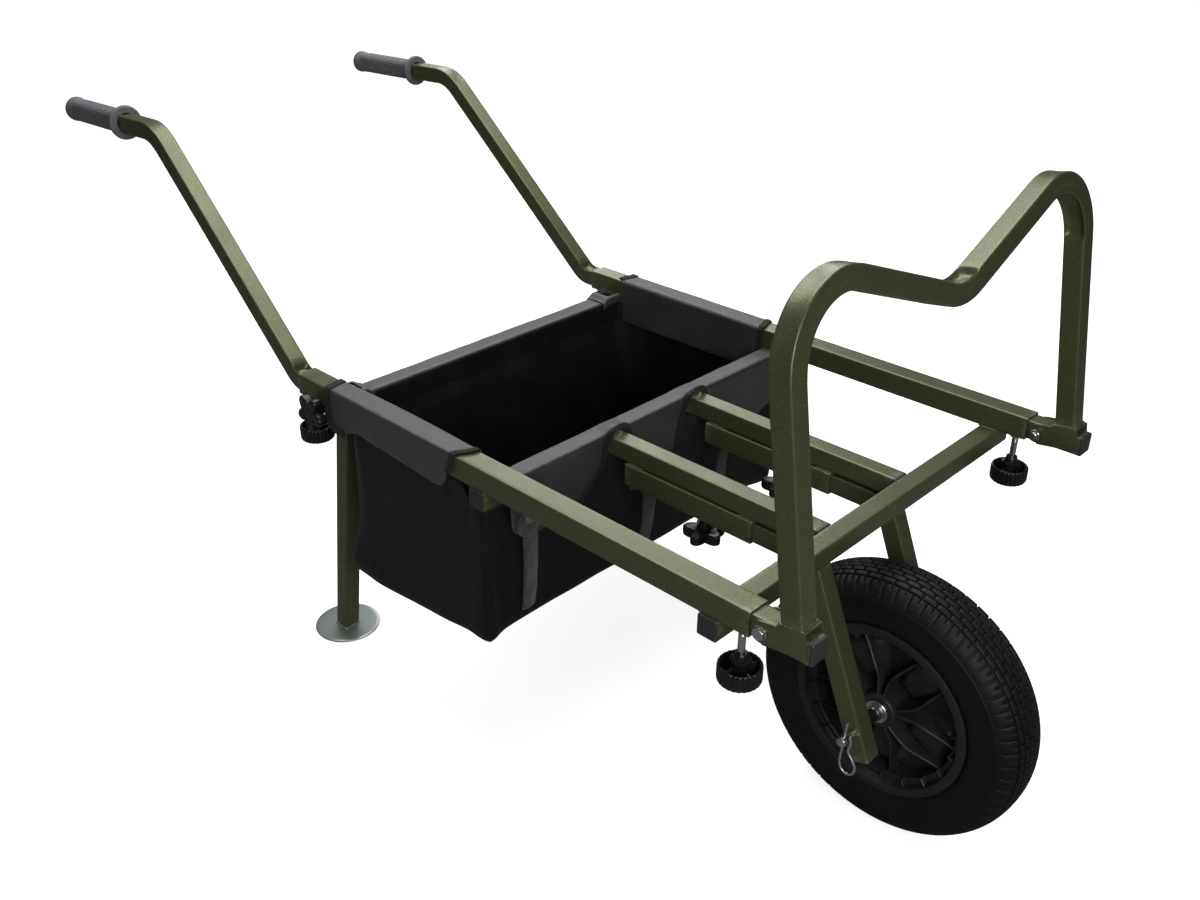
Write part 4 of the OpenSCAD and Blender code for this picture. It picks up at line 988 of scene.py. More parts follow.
def makePlugs():
    caps, plugs, ends = MeshPile(), MeshPile(), MeshPile()
    for s in (-1, 1):
        outward = Matrix.Rotation(math.radians(90 * s), 3, "Z")
        for x in (cross["frontX"], cross["midX"]):
            softPlug(caps, outward, (x, s * cross["halfWide"], cross["z"]), 2.6)
        softPlug(plugs, still, (centre["front"], s * centre["y"], cross["z"]), 4.3, crown=0.0)
        softPlug(ends, still, (stub["out"], s * railY, stub["z"]), 4)
    for pile, name, body, node in ((caps, "crossbarCapSet", "frame", "crossbar_caps"),
                                   (plugs, "centralPlugSet", "frame", "central_plugs"),
                                   (ends, "stubPlugSet", "extension", "stub_plugs")):
        finishPiece(name, pile.mesh(name), plugPlastic, body, [node], 45)


makeClamps()
makePivots()
makePlugs()

print("wheel")
wheel = {
    "centre": (12, 0, -275.5), "radius": 177.5, "halfWidth": 42, "seat": 108, "power": 5 / 6, "beadDrop": 6,
    "pitches": 60, "brick": 8.5, "grooveDepth": 2.1, "grooveEdges": (-1.4, -0.92, -0.6, 0.6, 0.92, 1.4),
    "shoulder": 49, "pairs": 5}
ontoY = Matrix.Rotation(math.radians(-90), 3, "X")


def tyreSection(a):
    # Half outline (across, radius) by angle from the crown, 0 to 180 degrees
    s, c, middle = math.sin(a), math.cos(a), (wheel["radius"] + wheel["seat"]) / 2
    lower = middle - wheel["seat"] + wheel["beadDrop"]
    rise = (wheel["radius"] - middle) * c ** wheel["power"] if c > 0 else -lower * (-c) ** wheel["power"]
    return wheel["halfWidth"] * max(s, 0) ** wheel["power"], middle + rise


def tyreStations():
    # (distance from the crown, across, radius, outward across, outward radius), every tenth of a degree
    points = [tyreSection(math.radians(k / 10)) for k in range(1560)]
    run, stations = 0.0, []
    for i, (y, r) in enumerate(points):
        if i:
            run += math.hypot(y - points[i - 1][0], r - points[i - 1][1])
        y0, r0 = points[max(i - 1, 0)]
        y1, r1 = points[i + 1] if i + 1 < len(points) else points[i]
        size = math.hypot(y1 - y0, r1 - r0)
        stations.append((run, y, r, (r0 - r1) / size, (y1 - y0) / size))
    return stations


def grooveDip(gap):
    # One in the bottom of a groove, none beyond its bevelled edge, by millimetres from its centre line
    gap = abs(gap)
    if gap <= 0.6:
        return 1.0
    return max(0.0, 1.0 - (gap - 0.6) / 0.4) if gap < 0.9 else max(0.0, 0.25 * (1.4 - gap) / 0.5)


def treadDip(run, phase, pitch):
    row, reachOut = wheel["brick"], abs(run)
    gap0 = min(phase, 1 - phase) * pitch
    gap1 = abs(phase - 0.5) * pitch
    nearest = round(run / row)
    ring = grooveDip(run - nearest * row) if abs(nearest) <= 3 else 0.0
    if reachOut < 3 * row:
        bar = grooveDip(gap1 if math.floor(run / row) % 2 else gap0)
    else:
        bar = grooveDip(gap0) * smoothStep((wheel["shoulder"] - reachOut) / 14)
        bar = max(bar, grooveDip(gap1) * smoothStep((34 - reachOut) / 3))
    return wheel["grooveDepth"] * max(ring, bar)


def makeTyre():
    stations, pitch = tyreStations(), 2 * math.pi * wheel["radius"] / wheel["pitches"]
    rows = []
    for k in range(4):
        rows += [wheel["brick"] * k + d for d in wheel["grooveEdges"]]
        rows.append(wheel["brick"] * (k + 0.5))
    rows += [32.5, 34.5, 37, 40, 43, 46, 48, 50.5, 51.3, 52.1]
    last = stations[-1][0]
    shares = (0, 0.12, 0.24, 0.36, 0.48, 0.6, 0.68, 0.72, 0.735, 0.75, 0.8, 0.88, 0.94, 1)
    rows += [54 + (last - 54) * t for t in shares]
    rows = sorted({round(r, 3) for r in rows if r > 0.2})
    lineAt = rows[-8]
    pitchSteps = []
    for middle in (0.0, 0.5):
        pitchSteps += [middle + d / pitch for d in wheel["grooveEdges"]] + [middle + 0.25]
    pitchSteps = sorted(p % 1.0 for p in pitchSteps)
    angles = [(n + p) / wheel["pitches"] for n in range(wheel["pitches"]) for p in pitchSteps]
    phases = pitchSteps * wheel["pitches"]
    rings = []

    def ring(side, run):
        i = min(range(0, len(stations)), key=lambda k: abs(stations[k][0] - run))
        _, y, r, ny, nr = stations[i]
        out = 0.45 if abs(run - 51.3) < 0.1 or abs(run - lineAt) < 0.1 else 0.0
        points = []
        for turn, phase in zip(angles, phases):
            dip = treadDip(side * run, phase, pitch) - out if run < 52 else -out
            rr, yy = r - nr * dip, side * (y - ny * dip)
            a = 2 * math.pi * turn
            points.append((rr * math.cos(a), rr * math.sin(a), yy))
        return points

    for side in (-1, 1):
        part = [ring(side, run) for run in rows]
        rings += list(reversed(part)) if side < 0 else part
    for y in (28, 20, -20, -28):
        r = wheel["seat"] + (5 if abs(y) < 25 else 0)
        rings.append([(r * math.cos(2 * math.pi * t), r * math.sin(2 * math.pi * t), y) for t in angles])
    pile = MeshPile().rings(rings, loop=True)
    pile.move(ontoY, wheel["centre"])
    finishPiece("tyreCover", pile.mesh("tyreCover"), tyreRubber, "wheel", ("tyre",), sharp=50)


rim = {
    "hub": 23, "well": 95, "knee": 50, "ribWidth": 3.4, "ribFoot": 2, "web": 22, "sides": 180,
    # Short ribs round the well: how many, their width and where their foot is
    "teeth": 20, "toothWidth": 1.7, "toothFoot": 24,
    "lip": [(95, 25.5), (96, 26.6), (102.2, 27.4), (103.2, 28.6), (103.6, 36.4), (104.6, 37.9), (108, 38.7),
            (112.6, 38.8), (114.8, 38.2), (115.5, 36.9), (115.3, 35.3), (114.2, 34.8), (109.4, 34.5),
            (108, 32.6), (108, 16), (99.5, 13)],
    "hubEnd": [(6.4, 34), (14.2, 34), (14.6, 37.4), (15.6, 38), (20.6, 38), (22.2, 37.4), (23, 36),
               (23, 30), (24, 0)],
}


def onWheel(r, degrees):
    a = math.radians(degrees)
    return Vector((r * math.cos(a), r * math.sin(a), 0))


def ribLine(sign):
    # Middle line of one rib of the pair round the +X direction, rounded at its knee
    a, b = onWheel(rim["hub"] - 2, sign * 8.5), onWheel(rim["knee"], sign * 9.5)
    c = onWheel(rim["well"] + 3, sign * 24)
    before, after = b + (a - b).normalized() * 11, b + (c - b).normalized() * 11
    line = [a.lerp(before, k / 4) for k in range(4)]
    line += [(before.lerp(b, k / 8)).lerp(b.lerp(after, k / 8), k / 8) for k in range(9)]
    return line + [after.lerp(c, k / 6) for k in range(1, 7)]


def addRib(pile, line, lowAt, highAt, width):
    # Wall along a line in the wheel plane, from one height to the other, with a rounded top
    rings = []
    for p, way in zip(line, headings(line)):
        side = Vector((-way.y, way.x, 0))
        low, high, half = lowAt(p.length), highAt(p.length), width / 2
        up = 1 if high > low else -1
        rise = [(-half - 0.5, low), (-half, high - up * 2.2), (-half + 0.25, high - up * 0.6),
                (-half + 0.9, high)]
        section = rise + [(-s, z) for s, z in reversed(rise)]
        rings.append([(*(p + side * s).xy, z) for s, z in section])
    pile.rings(rings, capStart=True, capEnd=True)


def petalHeight(r, degrees):
    # The web swells between neighbouring pairs of ribs and lies deep between the two of a pair
    step = 360 / wheel["pairs"]
    gap = abs((degrees + step / 2) % step - step / 2)
    return 4 + 13 * (smoothStep((gap - 10) / 14) * smoothStep((r - 24) / 22) * smoothStep((97 - r) / 20))


def ribHeight(r):
    return 35.5 - 3 * smoothStep((r - 24) / 26) - 9 * smoothStep((r - 50) / 45)


def makeRim():
    pile, lip, hubEnd = MeshPile(), rim["lip"], rim["hubEnd"]
    sides, web, step = rim["sides"], rim["web"], 360 / wheel["pairs"]
    turned(pile, lip + [(r, -y) for r, y in reversed(lip)] + [lip[0]], sides)
    turned(pile, hubEnd + [(r, -y) for r, y in reversed(hubEnd[:-1])] + [hubEnd[0]], sides)
    for side in (-1, 1):
        radii = [web + (rim["well"] + 1.5 - web) * k / 24 for k in range(25)]
        pile.rings([[(*onWheel(r, 2 * j - 90).xy, side * petalHeight(r, 2 * j)) for j in range(sides)]
                    for r in radii])
        for k in range(wheel["pairs"]):
            for sign in (-1, 1):
                start = len(pile.points)
                addRib(pile, ribLine(sign), lambda r: side * rim["ribFoot"], lambda r: side * ribHeight(r),
                       rim["ribWidth"])
                pile.move(Matrix.Rotation(math.radians(step * k - 90), 3, "Z"), (0, 0, 0), start)
        for k in range(rim["teeth"]):
            start = len(pile.points)
            line = [Vector((rim["well"] - 1 + 2.2 * j, 0, 0)) for j in range(5)]
            addRib(pile, line, lambda r: side * rim["toothFoot"], lambda r: side * (33.5 + 0.25 * (r - 94)),
                   rim["toothWidth"])
            pile.move(Matrix.Rotation(math.radians(360 / rim["teeth"] * (k + 0.5)), 3, "Z"), (0, 0, 0), start)
    pile.move(ontoY, wheel["centre"])
    finishPiece("rimMoulding", pile.mesh("rimMoulding"), rimPlastic, "wheel", ("rim",), sharp=40)


axle = {
    "radius": 6, "near": -115, "far": 92, "head": 9.5, "headOut": 98, "forkFace": 67,
    "bore": 6.05, "spacer": 47.05,
    "washer": [(6.05, 38.05), (14.5, 38.05), (15, 38.5), (15, 39.5), (14.5, 40.05), (12.4, 40.05), (11.6, 39.5),
               (9.9, 39.5), (9.5, 40.2), (9.5, 46.4), (9.1, 47.05), (8.3, 47.05), (8, 46.5),
               (8, 44), (6.05, 44)]}


def axlePiece(name, pile, finish, node):
    mesh = pile.move(ontoY, wheel["centre"]).mesh(name)
    finishPiece(name, mesh, finish, "fork", (node,))


def makeAxle():
    low, high, bore = axle["spacer"], axle["forkFace"], axle["bore"]
    spacer = [(bore, low), (7.6, low), (8, low + 0.4), (8, high - 0.4), (7.6, high), (bore, high)]
    for name, profile, steps, finish, node in (("axleWashers", axle["washer"], 96, zinc, "axle_washers"),
                                               ("axleSpacers", spacer, 72, knobPlastic, "axle_spacers")):
        pile = MeshPile()
        for side in (-1, 1):
            turned(pile, [(r, side * y) for r, y in profile + [profile[0]]], steps)
        axlePiece(name, pile, finish, node)
    r, near, far, head, out = (axle[k] for k in ("radius", "near", "far", "head", "headOut"))
    profile = [(0.01, near), (r - 1.4, near), (r - 0.7, near + 0.25), (r, near + 1.1)]
    profile += [(r, near + 1.1 + (far - near - 1.1) * k / 40) for k in range(1, 41)]
    profile += [(head - 0.6, far), (head, far + 0.6), (head, out - 1.2), (head - 0.4, out - 0.4),
                (head - 1.4, out), (0.01, out)]
    axlePiece("axlePin", turned(MeshPile(), profile, 72, capStart=True, capEnd=True), zinc, "axle")


springClip = {
    "wire": 1.5, "across": -107, "lean": 4.0,
    "points": [
        (0, 25), (0, 12), (0, 0), (0, -14), (-0.2, -26), (0.5, -35), (4.2, -42.5), (10.5, -45.5), (17, -43),
        (20.6, -36.5), (20, -28.5), (15, -21), (9.6, -15), (7.9, -9.5), (8.9, -4.5), (9.3, 0), (8.4, 4.5),
        (7.4, 9), (8.4, 13), (12, 17.5), (16.5, 21.5)]}


def smoothLine(points, steps):
    # Catmull-Rom curve through the points
    ends = [2 * points[0] - points[1]] + list(points) + [2 * points[-1] - points[-2]]
    line = []
    for i in range(1, len(ends) - 2):
        p0, p1, p2, p3 = ends[i - 1:i + 3]
        for k in range(steps):
            t = k / steps
            line.append(0.5 * (2 * p1 + (p2 - p0) * t + (2 * p0 - 5 * p1 + 4 * p2 - p3) * t * t
                               + (3 * p1 - p0 - 3 * p2 + p3) * t * t * t))
    return line + [points[-1]]


def addWire(pile, line, radius, steps=16):
    # Round wire along a line, with eased ends
    ways = headings(line)
    side, rings = ways[0].orthogonal().normalized(), []
    for p, way in zip(line, ways):
        side = (side - way * side.dot(way)).normalized()
        up = way.cross(side)
        rings.append([p + side * x + up * y for x, y, _ in roundRing(radius, steps)])
    start = [line[0] - ways[0] * radius * 0.5 + (q - line[0]) * 0.75 for q in rings[0]]
    stop = [line[-1] + ways[-1] * radius * 0.5 + (q - line[-1]) * 0.75 for q in rings[-1]]
    pile.rings([start] + rings + [stop], capStart=True, capEnd=True)


def makeSpringClip():
    lean, points, (axisX, _, axisZ) = math.radians(springClip["lean"]), [], wheel["centre"]
    for x, z in springClip["points"]:
        turnedX, turnedZ = x * math.cos(lean) + z * math.sin(lean), z * math.cos(lean) - x * math.sin(lean)
        points.append(Vector((axisX + turnedX, springClip["across"], axisZ + turnedZ)))
    pile = MeshPile()
    addWire(pile, smoothLine(points, 6), springClip["wire"])
    finishPiece("springClip", pile.mesh("springClip"), clipWire, "fork", ("r_clip",))


makeTyre()
makeRim()
makeAxle()
makeSpringClip()

print("bar feet")


def softenedCopy(name, node, width, finish, body):
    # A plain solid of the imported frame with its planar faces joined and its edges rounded
    source, work = frame["nodes"][node], bmesh.new()
    work.from_mesh(source.data)
    work.transform(source.matrix_world)
    bmesh.ops.remove_doubles(work, verts=work.verts, dist=0.00002)
    bmesh.ops.dissolve_limit(work, angle_limit=math.radians(1), verts=work.verts, edges=work.edges)
    edges = [e for e in work.edges if len(e.link_faces) == 2 and e.calc_face_angle() > math.radians(25)]
    bmesh.ops.bevel(work, geom=edges, offset=width * 0.001, segments=2, profile=0.5, affect="EDGES",
                    clamp_overlap=True)
    mesh = bpy.data.meshes.new(name)
    work.to_mesh(mesh)
    work.free()
    return finishPiece(name, mesh, finish, body, (node,))


for label in ("left", "right"):
    softenedCopy(label + "BarFoot", "bar_foot_" + label, 0.45, barePaint, "bar")

print("bag")
bag = {
    "thickness": 1.3, "half": 290, "halfFront": 294, "rear": -702, "front": -388,
    "low": {"rear": -706, "front": -394},
    # Side view of the bottom: (x, z)
    "bottom": [(-706, -268), (-690, -273), (-661, -276), (-557, -280), (-480, -269), (-394, -258)],
    "grid": (26, 48, 17), "slack": 0.012, "frames": 26, "cap": 8,
    # The rear corners: how far along and across the tuck reaches, and how deep it is each way
    "tuck": {"along": 44, "across": 38, "inX": 22, "inY": 19},
    "cloth": {"quality": 6, "mass": 0.12, "tension_stiffness": 22, "compression_stiffness": 22,
              "shear_stiffness": 6, "bending_stiffness": 1.2, "air_damping": 2.0}}


def clothGrid(name, grids, finish, thickness):
    # Sheets of cloth from grids of points in millimetres, given their thickness. Returns the piece and its area
    pile = MeshPile()
    for grid in grids:
        pile.rings(grid, closed=False)
    mesh = pile.mesh(name)
    return thicken(name, mesh, finish, thickness), sum(face.area for face in mesh.polygons)


def thicken(name, mesh, finish, thickness):
    raw = bpy.data.objects.new(name + "Raw", mesh)
    scene.collection.objects.link(raw)
    shell = raw.modifiers.new("thickness", "SOLIDIFY")
    shell.thickness, shell.offset = thickness * 0.001, 0
    raw.modifiers.new("smooth", "SUBSURF").levels = 1
    view = bpy.context.evaluated_depsgraph_get()
    final = bpy.data.meshes.new_from_object(raw.evaluated_get(view), depsgraph=view)
    final.name = name
    bpy.data.objects.remove(raw)
    return finishPiece(name, final, finish, "frame", sharp=70)


def along(table, x):
    # Straight steps between the (x, value) pairs of a table
    if x <= table[0][0]:
        return table[0][1]
    for (x0, v0), (x1, v1) in zip(table, table[1:]):
        if x <= x1:
            return v0 + (v1 - v0) * (x - x0) / (x1 - x0)
    return table[-1][1]


def eased(table, x, reach):
    # The table's value, averaged over a reach so that its corners are round
    return sum(along(table, x + reach * (k / 4 - 1)) for k in range(9)) / 9


def wave(*p, seed=0.0):
    y, z = p[1] if len(p) > 1 else 0, p[2] if len(p) > 2 else seed * 0.7
    return noise.noise(Vector((p[0] + seed, y - seed, z)))


def bagRim(part, t):
    # Top line of the bag under the rails and hems. part is side, front or rear, t runs from -1 to 1
    if part == "side":
        x = bag["rear"] + (bag["front"] - bag["rear"]) * (t + 1) / 2
        ahead = smoothStep((x + 436) / 22)
        return x, bag["half"] + 4 * ahead, -33 - 25 * ahead
    y = bag["half"] * t
    if part == "front":
        return bag["front"], y * bag["halfFront"] / bag["half"], -58
    return bag["rear"], y, -57.5 + 24.5 * smoothStep((abs(y) - 238) / 40)


def tucked(p, rear, down):
    # Draws a rear corner of the bag in round the leg, less and less towards the bottom
    share, size = 1 - smoothStep((down - 0.5) / 0.5), bag["tuck"]
    if share > 0.01:
        near = (p.x - rear) / (size["along"] * share) + (bag["half"] - abs(p.y)) / (size["across"] * share)
        if near < 1:
            p.x += (1 - near) * size["inX"] * share
            p.y -= math.copysign((1 - near) * size["inY"] * share, p.y)
    return p


def bagPoint(part, t, s, down):
    # Point of the bag's wall: part and t as above, s is the side, down is 0 at the rim and 1 at the bottom
    x, y, z = bagRim(part, t)
    low, lean = bag["low"], smoothStep(down) * 0.6 + down * 0.4
    out = min(1.0, down * 5) * 5.5 + down * 3.5
    if part == "side":
        xLow = low["rear"] + (low["front"] - low["rear"]) * (t + 1) / 2
        x += (xLow - x) * lean
        zLow = eased(bag["bottom"], xLow, 26)
        out += 7 * smoothStep((down - 0.8) / 0.13) * (1 - smoothStep((x + 640) / 110))
        rear = bag["rear"] + (low["rear"] - bag["rear"]) * lean
        return tucked(Vector((x, s * (y + out), z + (zLow - z) * down)), rear, down)
    zLow = eased(bag["bottom"], low[part], 4)
    x += (low[part] - x) * lean
    p = Vector((x, y + y / bag["half"] * out, z + (zLow - z) * down))
    return tucked(p, x, down) if part == "rear" else p


def bagCells():
    # Walls in rings and a floor, all sharing their points
    nx, ny, nz = bag["grid"]
    ring, walls = [], (("rear", ny, 1, 0), ("side", nx, 1, 1), ("front", ny, -1, 0), ("side", nx, -1, -1))
    for part, count, way, s in walls:
        ring += [(part, way * (-1 + 2 * k / count), s) for k in range(count)]
    rows = [[bagPoint(part, t, s, k / nz) for part, t, s in ring] for k in range(nz + 1)]
    last, floorRows = rows[-1], []
    for i in range(nx + 1):
        a, b = last[-i % len(ring)], last[ny + i]
        row = [a.lerp(b, j / ny) for j in range(ny + 1)]
        if i == 0:
            row = last[:ny + 1]
        elif i == nx:
            row = [last[ny + nx + ny - j] for j in range(ny + 1)]
        floorRows.append([p.copy() for p in row])
    return rows, floorRows


def roundCorners(mesh, passes, held):
    # Eases the folds between walls and floor, but holds the rim
    work = bmesh.new()
    work.from_mesh(mesh)
    free = [v for v in work.verts if v.index not in held]
    for _ in range(passes):
        bmesh.ops.smooth_vert(work, verts=free, factor=0.5, use_axis_x=True, use_axis_y=True, use_axis_z=True)
    work.to_mesh(mesh)
    work.free()


def hang(mesh, pinned, settings):
    # Lets the cloth hang from its pinned points for some frames, and keeps each point near where it was
    piece = bpy.data.objects.new("hangingCloth", mesh.copy())
    scene.collection.objects.link(piece)
    piece.vertex_groups.new(name="hung").add(pinned, 1.0, "REPLACE")
    cloth = piece.modifiers.new("cloth", "CLOTH")
    for key, value in settings["cloth"].items():
        setattr(cloth.settings, key, value)
    cloth.settings.shrink_min = -settings["slack"]
    cloth.settings.vertex_group_mass = "hung"
    cloth.collision_settings.use_collision = cloth.collision_settings.use_self_collision = False
    for frameNumber in range(1, settings["frames"] + 1):
        scene.frame_set(frameNumber)
    view = bpy.context.evaluated_depsgraph_get()
    hung = piece.evaluated_get(view).to_mesh()
    moved, most = [], settings["cap"] * 0.001
    for before, after in zip(mesh.vertices, hung.vertices):
        step = after.co - before.co
        if step.length > 0:
            step *= most * math.tanh(step.length / most) / step.length
        moved.append(before.co + step)
    bpy.data.objects.remove(piece)
    scene.frame_set(1)
    for vertex, spot in zip(mesh.vertices, moved):
        vertex.co = spot


def makeBagBody():
    rows, floorRows = bagCells()
    mesh = MeshPile().rings(rows).rings(floorRows, closed=False).mesh("bagBody")
    rimPoints = [v.index for v in mesh.vertices if min((v.co - place(*p)).length for p in rows[0]) < 0.0005]
    held = set(rimPoints)
    roundCorners(mesh, 2, held)
    for v in mesh.vertices:
        if v.index not in held:
            q = v.co * 1000
            loose = 0.0028 - 0.0021 * smoothStep((-200 - q.z) / 50)
            sway = Vector((wave(q.y / 70, q.z / 120, seed=3), wave(q.x / 60, q.z / 110, seed=8), 0))
            v.co += sway * loose
    area = sum(face.area for face in mesh.polygons)
    hang(mesh, rimPoints, bag)
    piece = thicken("bagBody", mesh, tubCloth, bag["thickness"])
    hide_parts("tub")
    return piece, area


# Wraps over the side rails, by the sign of their side. Front and rear give the ends at the inner and outer top
# edge, innerBack how much further back the inner flap starts, lowEdge the outer flap's edge as (x, z)
wrap = {
    "rear": -692, "innerBack": 4, "frontInner": {-1: -430, 1: -418}, "frontOuter": {-1: -441, 1: -426},
    "flapFront": {-1: -450, 1: -436}, "innerDrop": 66, "gap": 1.6, "steps": 48, "flapSteps": 8,
    "lowEdge": [(-700, -30), (-690, -45), (-678, -48.5), (-654, -49), (-640, -43), (-628, -39.5), (-612, -42.5),
                (-554, -45.5), (-500, -48.5), (-476, -50)]}


def wrapOutline(sign, t):
    # Section points (out, z) at a share t of the length, from the inner edge over the rail
    g, drop = wrap["gap"], wrap["innerDrop"]
    slack = 3.6 * math.sin(math.pi * min(max(t, 0), 1)) ** 0.8 if sign < 0 else 1.2
    inner = [(-15 - g - slack * 0.5 - 2.0 * (1 - k / 6), -drop + (drop - 4) * k / 6) for k in range(7)]
    inner += [(-15.0 - g - slack, -1.6), (-14.0 - slack, 0.9), (-12.6 - slack * 0.7, 1.5)]
    top = [(-12.6 - slack * 0.7 + (25.4 + slack * 0.7) * k / 7, 1.5) for k in range(1, 8)]
    return inner + top + [(14.6, 1.0), (15.7, -0.3), (16.1, -2.2)]


def wrapPoint(sign, u, k):
    # u from 0 to 1 along the rail, k counts along the section and on down the outer flap
    section, rear, back = wrapOutline(sign, u), wrap["rear"], wrap["innerBack"]
    frontOuter, flapFront = wrap["frontOuter"][sign], wrap["flapFront"][sign]
    x0 = rear - back + (wrap["frontInner"][sign] - rear + back) * u
    x1 = rear + (frontOuter - rear) * u
    if k < len(section):
        o, z = section[k]
        x = x0 + (x1 - x0) * smoothStep((o + 14) / 28)
        flare = 0.0
    else:
        f = (k - len(section) + 1) / wrap["flapSteps"]
        rounded = max(0.0, (x1 - (flapFront - 24)) / (frontOuter - flapFront + 24)) ** 2.2
        low = eased(wrap["lowEdge"], x1, 7) + 26 * (1 - math.sqrt(max(0.0, 1 - rounded)))
        z = -2.2 + (low + 2.2) * f
        o = 16.1 + 1.3 * f
        x = x1 - 7 * f * smoothStep((u - 0.9) / 0.1)
        flare = 1.1 * f * f
    loose = 0.7 * wave(x / 34, z / 26, seed=5 + sign) + 0.4 * wave(x / 13, z / 15, seed=9 + sign)
    side = 1 if o > 0 else -1
    lift = 0.45 * (1 + wave(x / 30, o / 12, seed=2 + sign)) if abs(o) < 14.7 else 0.0
    out = o + flare + (side * loose * min(1.0, max(0.0, -z / 14)))
    return Vector((x, sign * (tube["railY"] + out), z + lift))


def makeWraps():
    for label, sign in (("right", -1), ("left", 1)):
        total, steps = len(wrapOutline(sign, 0)) + wrap["flapSteps"], wrap["steps"]
        grid = [[wrapPoint(sign, i / steps, k) for k in range(total)] for i in range(steps + 1)]
        piece, area = clothGrid(label + "RailWrap", [grid], wrapClothWithPaintedLight, bag["thickness"])
        # Elastic binding at the rear mouth, bulging past the wrap, and a flat one at the front
        rear = [grid[0][k] for k in range(9, total)] + [grid[k][-1] for k in range(1, 7)]
        front = grid[-1][2:total]
        trims = [
            makeBinding(label + "WrapRearBinding", rear, (-1, 0, 0), (13, 3.6), 0.9, sign, 0.2, True),
            makeBinding(label + "WrapFrontBinding", front, (1, 0, 0), (9.5, 2.8), 0.7, sign, 0.1, True)]


def makeBinding(name, line, ahead, size, puff, seed, shift=0.0, turning=False):
    # Soft woven tape that straddles an edge line: an oval section, wide along the cloth and thin across it
    dense, ahead, (width, thick) = smoothLine(line, 3), Vector(ahead), size
    middle, rings, around = sum(dense, Vector()) / len(dense), [], 16
    for i, (p, way) in enumerate(zip(dense, headings(dense))):
        flat = (ahead - way * ahead.dot(way)).normalized()
        if turning:
            ahead = flat
        up = way.cross(flat).normalized()
        if up.dot(p - middle) < 0:
            up = -up
        swell = 1 + 0.16 * wave(i / 3.1, seed=seed * 3 + width) + 0.1 * wave(i / 1.3, seed=seed * 7)
        centreSpot = p + flat * (shift * width) + up * (puff * (1 + 0.5 * wave(i / 2.3, seed=seed + 11)))
        ring = []
        for k in range(around):
            c, s = math.cos(2 * math.pi * k / around), math.sin(2 * math.pi * k / around)
            lengthwise, across = math.copysign(abs(c) ** 0.7, c), math.copysign(abs(s) ** 0.8, s)
            ring.append(centreSpot + flat * (lengthwise * width / 2 * swell)
                        + up * (across * thick / 2 * swell))
        rings.append(ring)
    pile = MeshPile()
    pile.rings(rings, capStart=True, capEnd=True)
    return finishPiece(name, pile.mesh(name), hemCloth, "frame", sharp=80)


rearHem = {
    "x0": -730.6, "x1": -701.6, "low": -57.2, "top": -28.2, "half": 235.5, "faceHalf": 266.3, "corner": 3.2,
    "overLeg": -20.2, "steps": 60, "faceSteps": 52, "thickness": 1.1, "faceThickness": 1.0,
    # Section over a leg sleeve from front to rear: (x, drop below the top)
    "over": [(-701.2, 0), (-708, -0.2), (-716, -0.3), (-723, -0.2), (-729, 0.1), (-732.4, 0.8), (-734.6, 3.4),
             (-735, 9), (-734.8, 15)]}


def hemOutline(x0, x1, z0, z1, corner, steps=3):
    # Closed outline (x, z) with round corners, counted round from the lower rear one, each side in equal steps
    spots = [(x0 + corner, z0 + corner, 180), (x1 - corner, z0 + corner, 270), (x1 - corner, z1 - corner, 0),
             (x0 + corner, z1 - corner, 90)]

    def onCorner(i, k):
        x, z, start = spots[i % 4]
        a = math.radians(start + 90 * k / steps)
        return x + corner * math.cos(a), z + corner * math.sin(a)

    outline = []
    for i in range(4):
        outline += [onCorner(i, k) for k in range(steps + 1)]
        (x, z), (goalX, goalZ) = outline[-1], onCorner(i + 1, 0)
        outline += [(x + (goalX - x) * k / steps, z + (goalZ - z) * k / steps) for k in range(1, steps)]
    return outline


def rearHemSleeve():
    h, grid = rearHem, []
    outline = hemOutline(h["x0"], h["x1"], h["low"], h["top"], h["corner"])
    cx, cz = (h["x0"] + h["x1"]) / 2, (h["low"] + h["top"]) / 2
    for i in range(h["steps"] + 1):
        y = h["half"] * (2 * i / h["steps"] - 1)
        row = []
        for x, z in outline + outline[:1]:
            push = 0.35 + 0.9 * wave(y / 38, x / 17, z / 17, seed=4) + 0.35 * wave(y / 11, x / 9, z / 9, seed=6)
            row.append(Vector((x, y, z)) + Vector((x - cx, 0, z - cz)).normalized() * max(0.0, push))
        grid.append(row)
    return clothGrid("rearHemSleeve", [grid], wrapClothWithPaintedLight, h["thickness"])


def rearHemFace():
    h, face = rearHem, []
    for i in range(h["faceSteps"] + 1):
        y = h["faceHalf"] * (2 * i / h["faceSteps"] - 1)
        inset = max(0.0, abs(y) - (h["faceHalf"] - 14)) / 14
        ends = smoothStep((abs(y) - 234) / 14)
        top = h["top"] - 2 + 9 * ends - 10 * (1 - math.sqrt(max(0, 1 - inset * inset)))
        x, low = h["x1"] + 2.3 + 2.2 * ends, h["low"] - 4
        face.append([Vector((x + 0.8 * (1 - ends) * wave(y / 40, k / 3, seed=15), y, top + (low - top) * k / 6))
                     for k in range(7)])
    return clothGrid("rearHemFace", [face], tubCloth, h["faceThickness"])


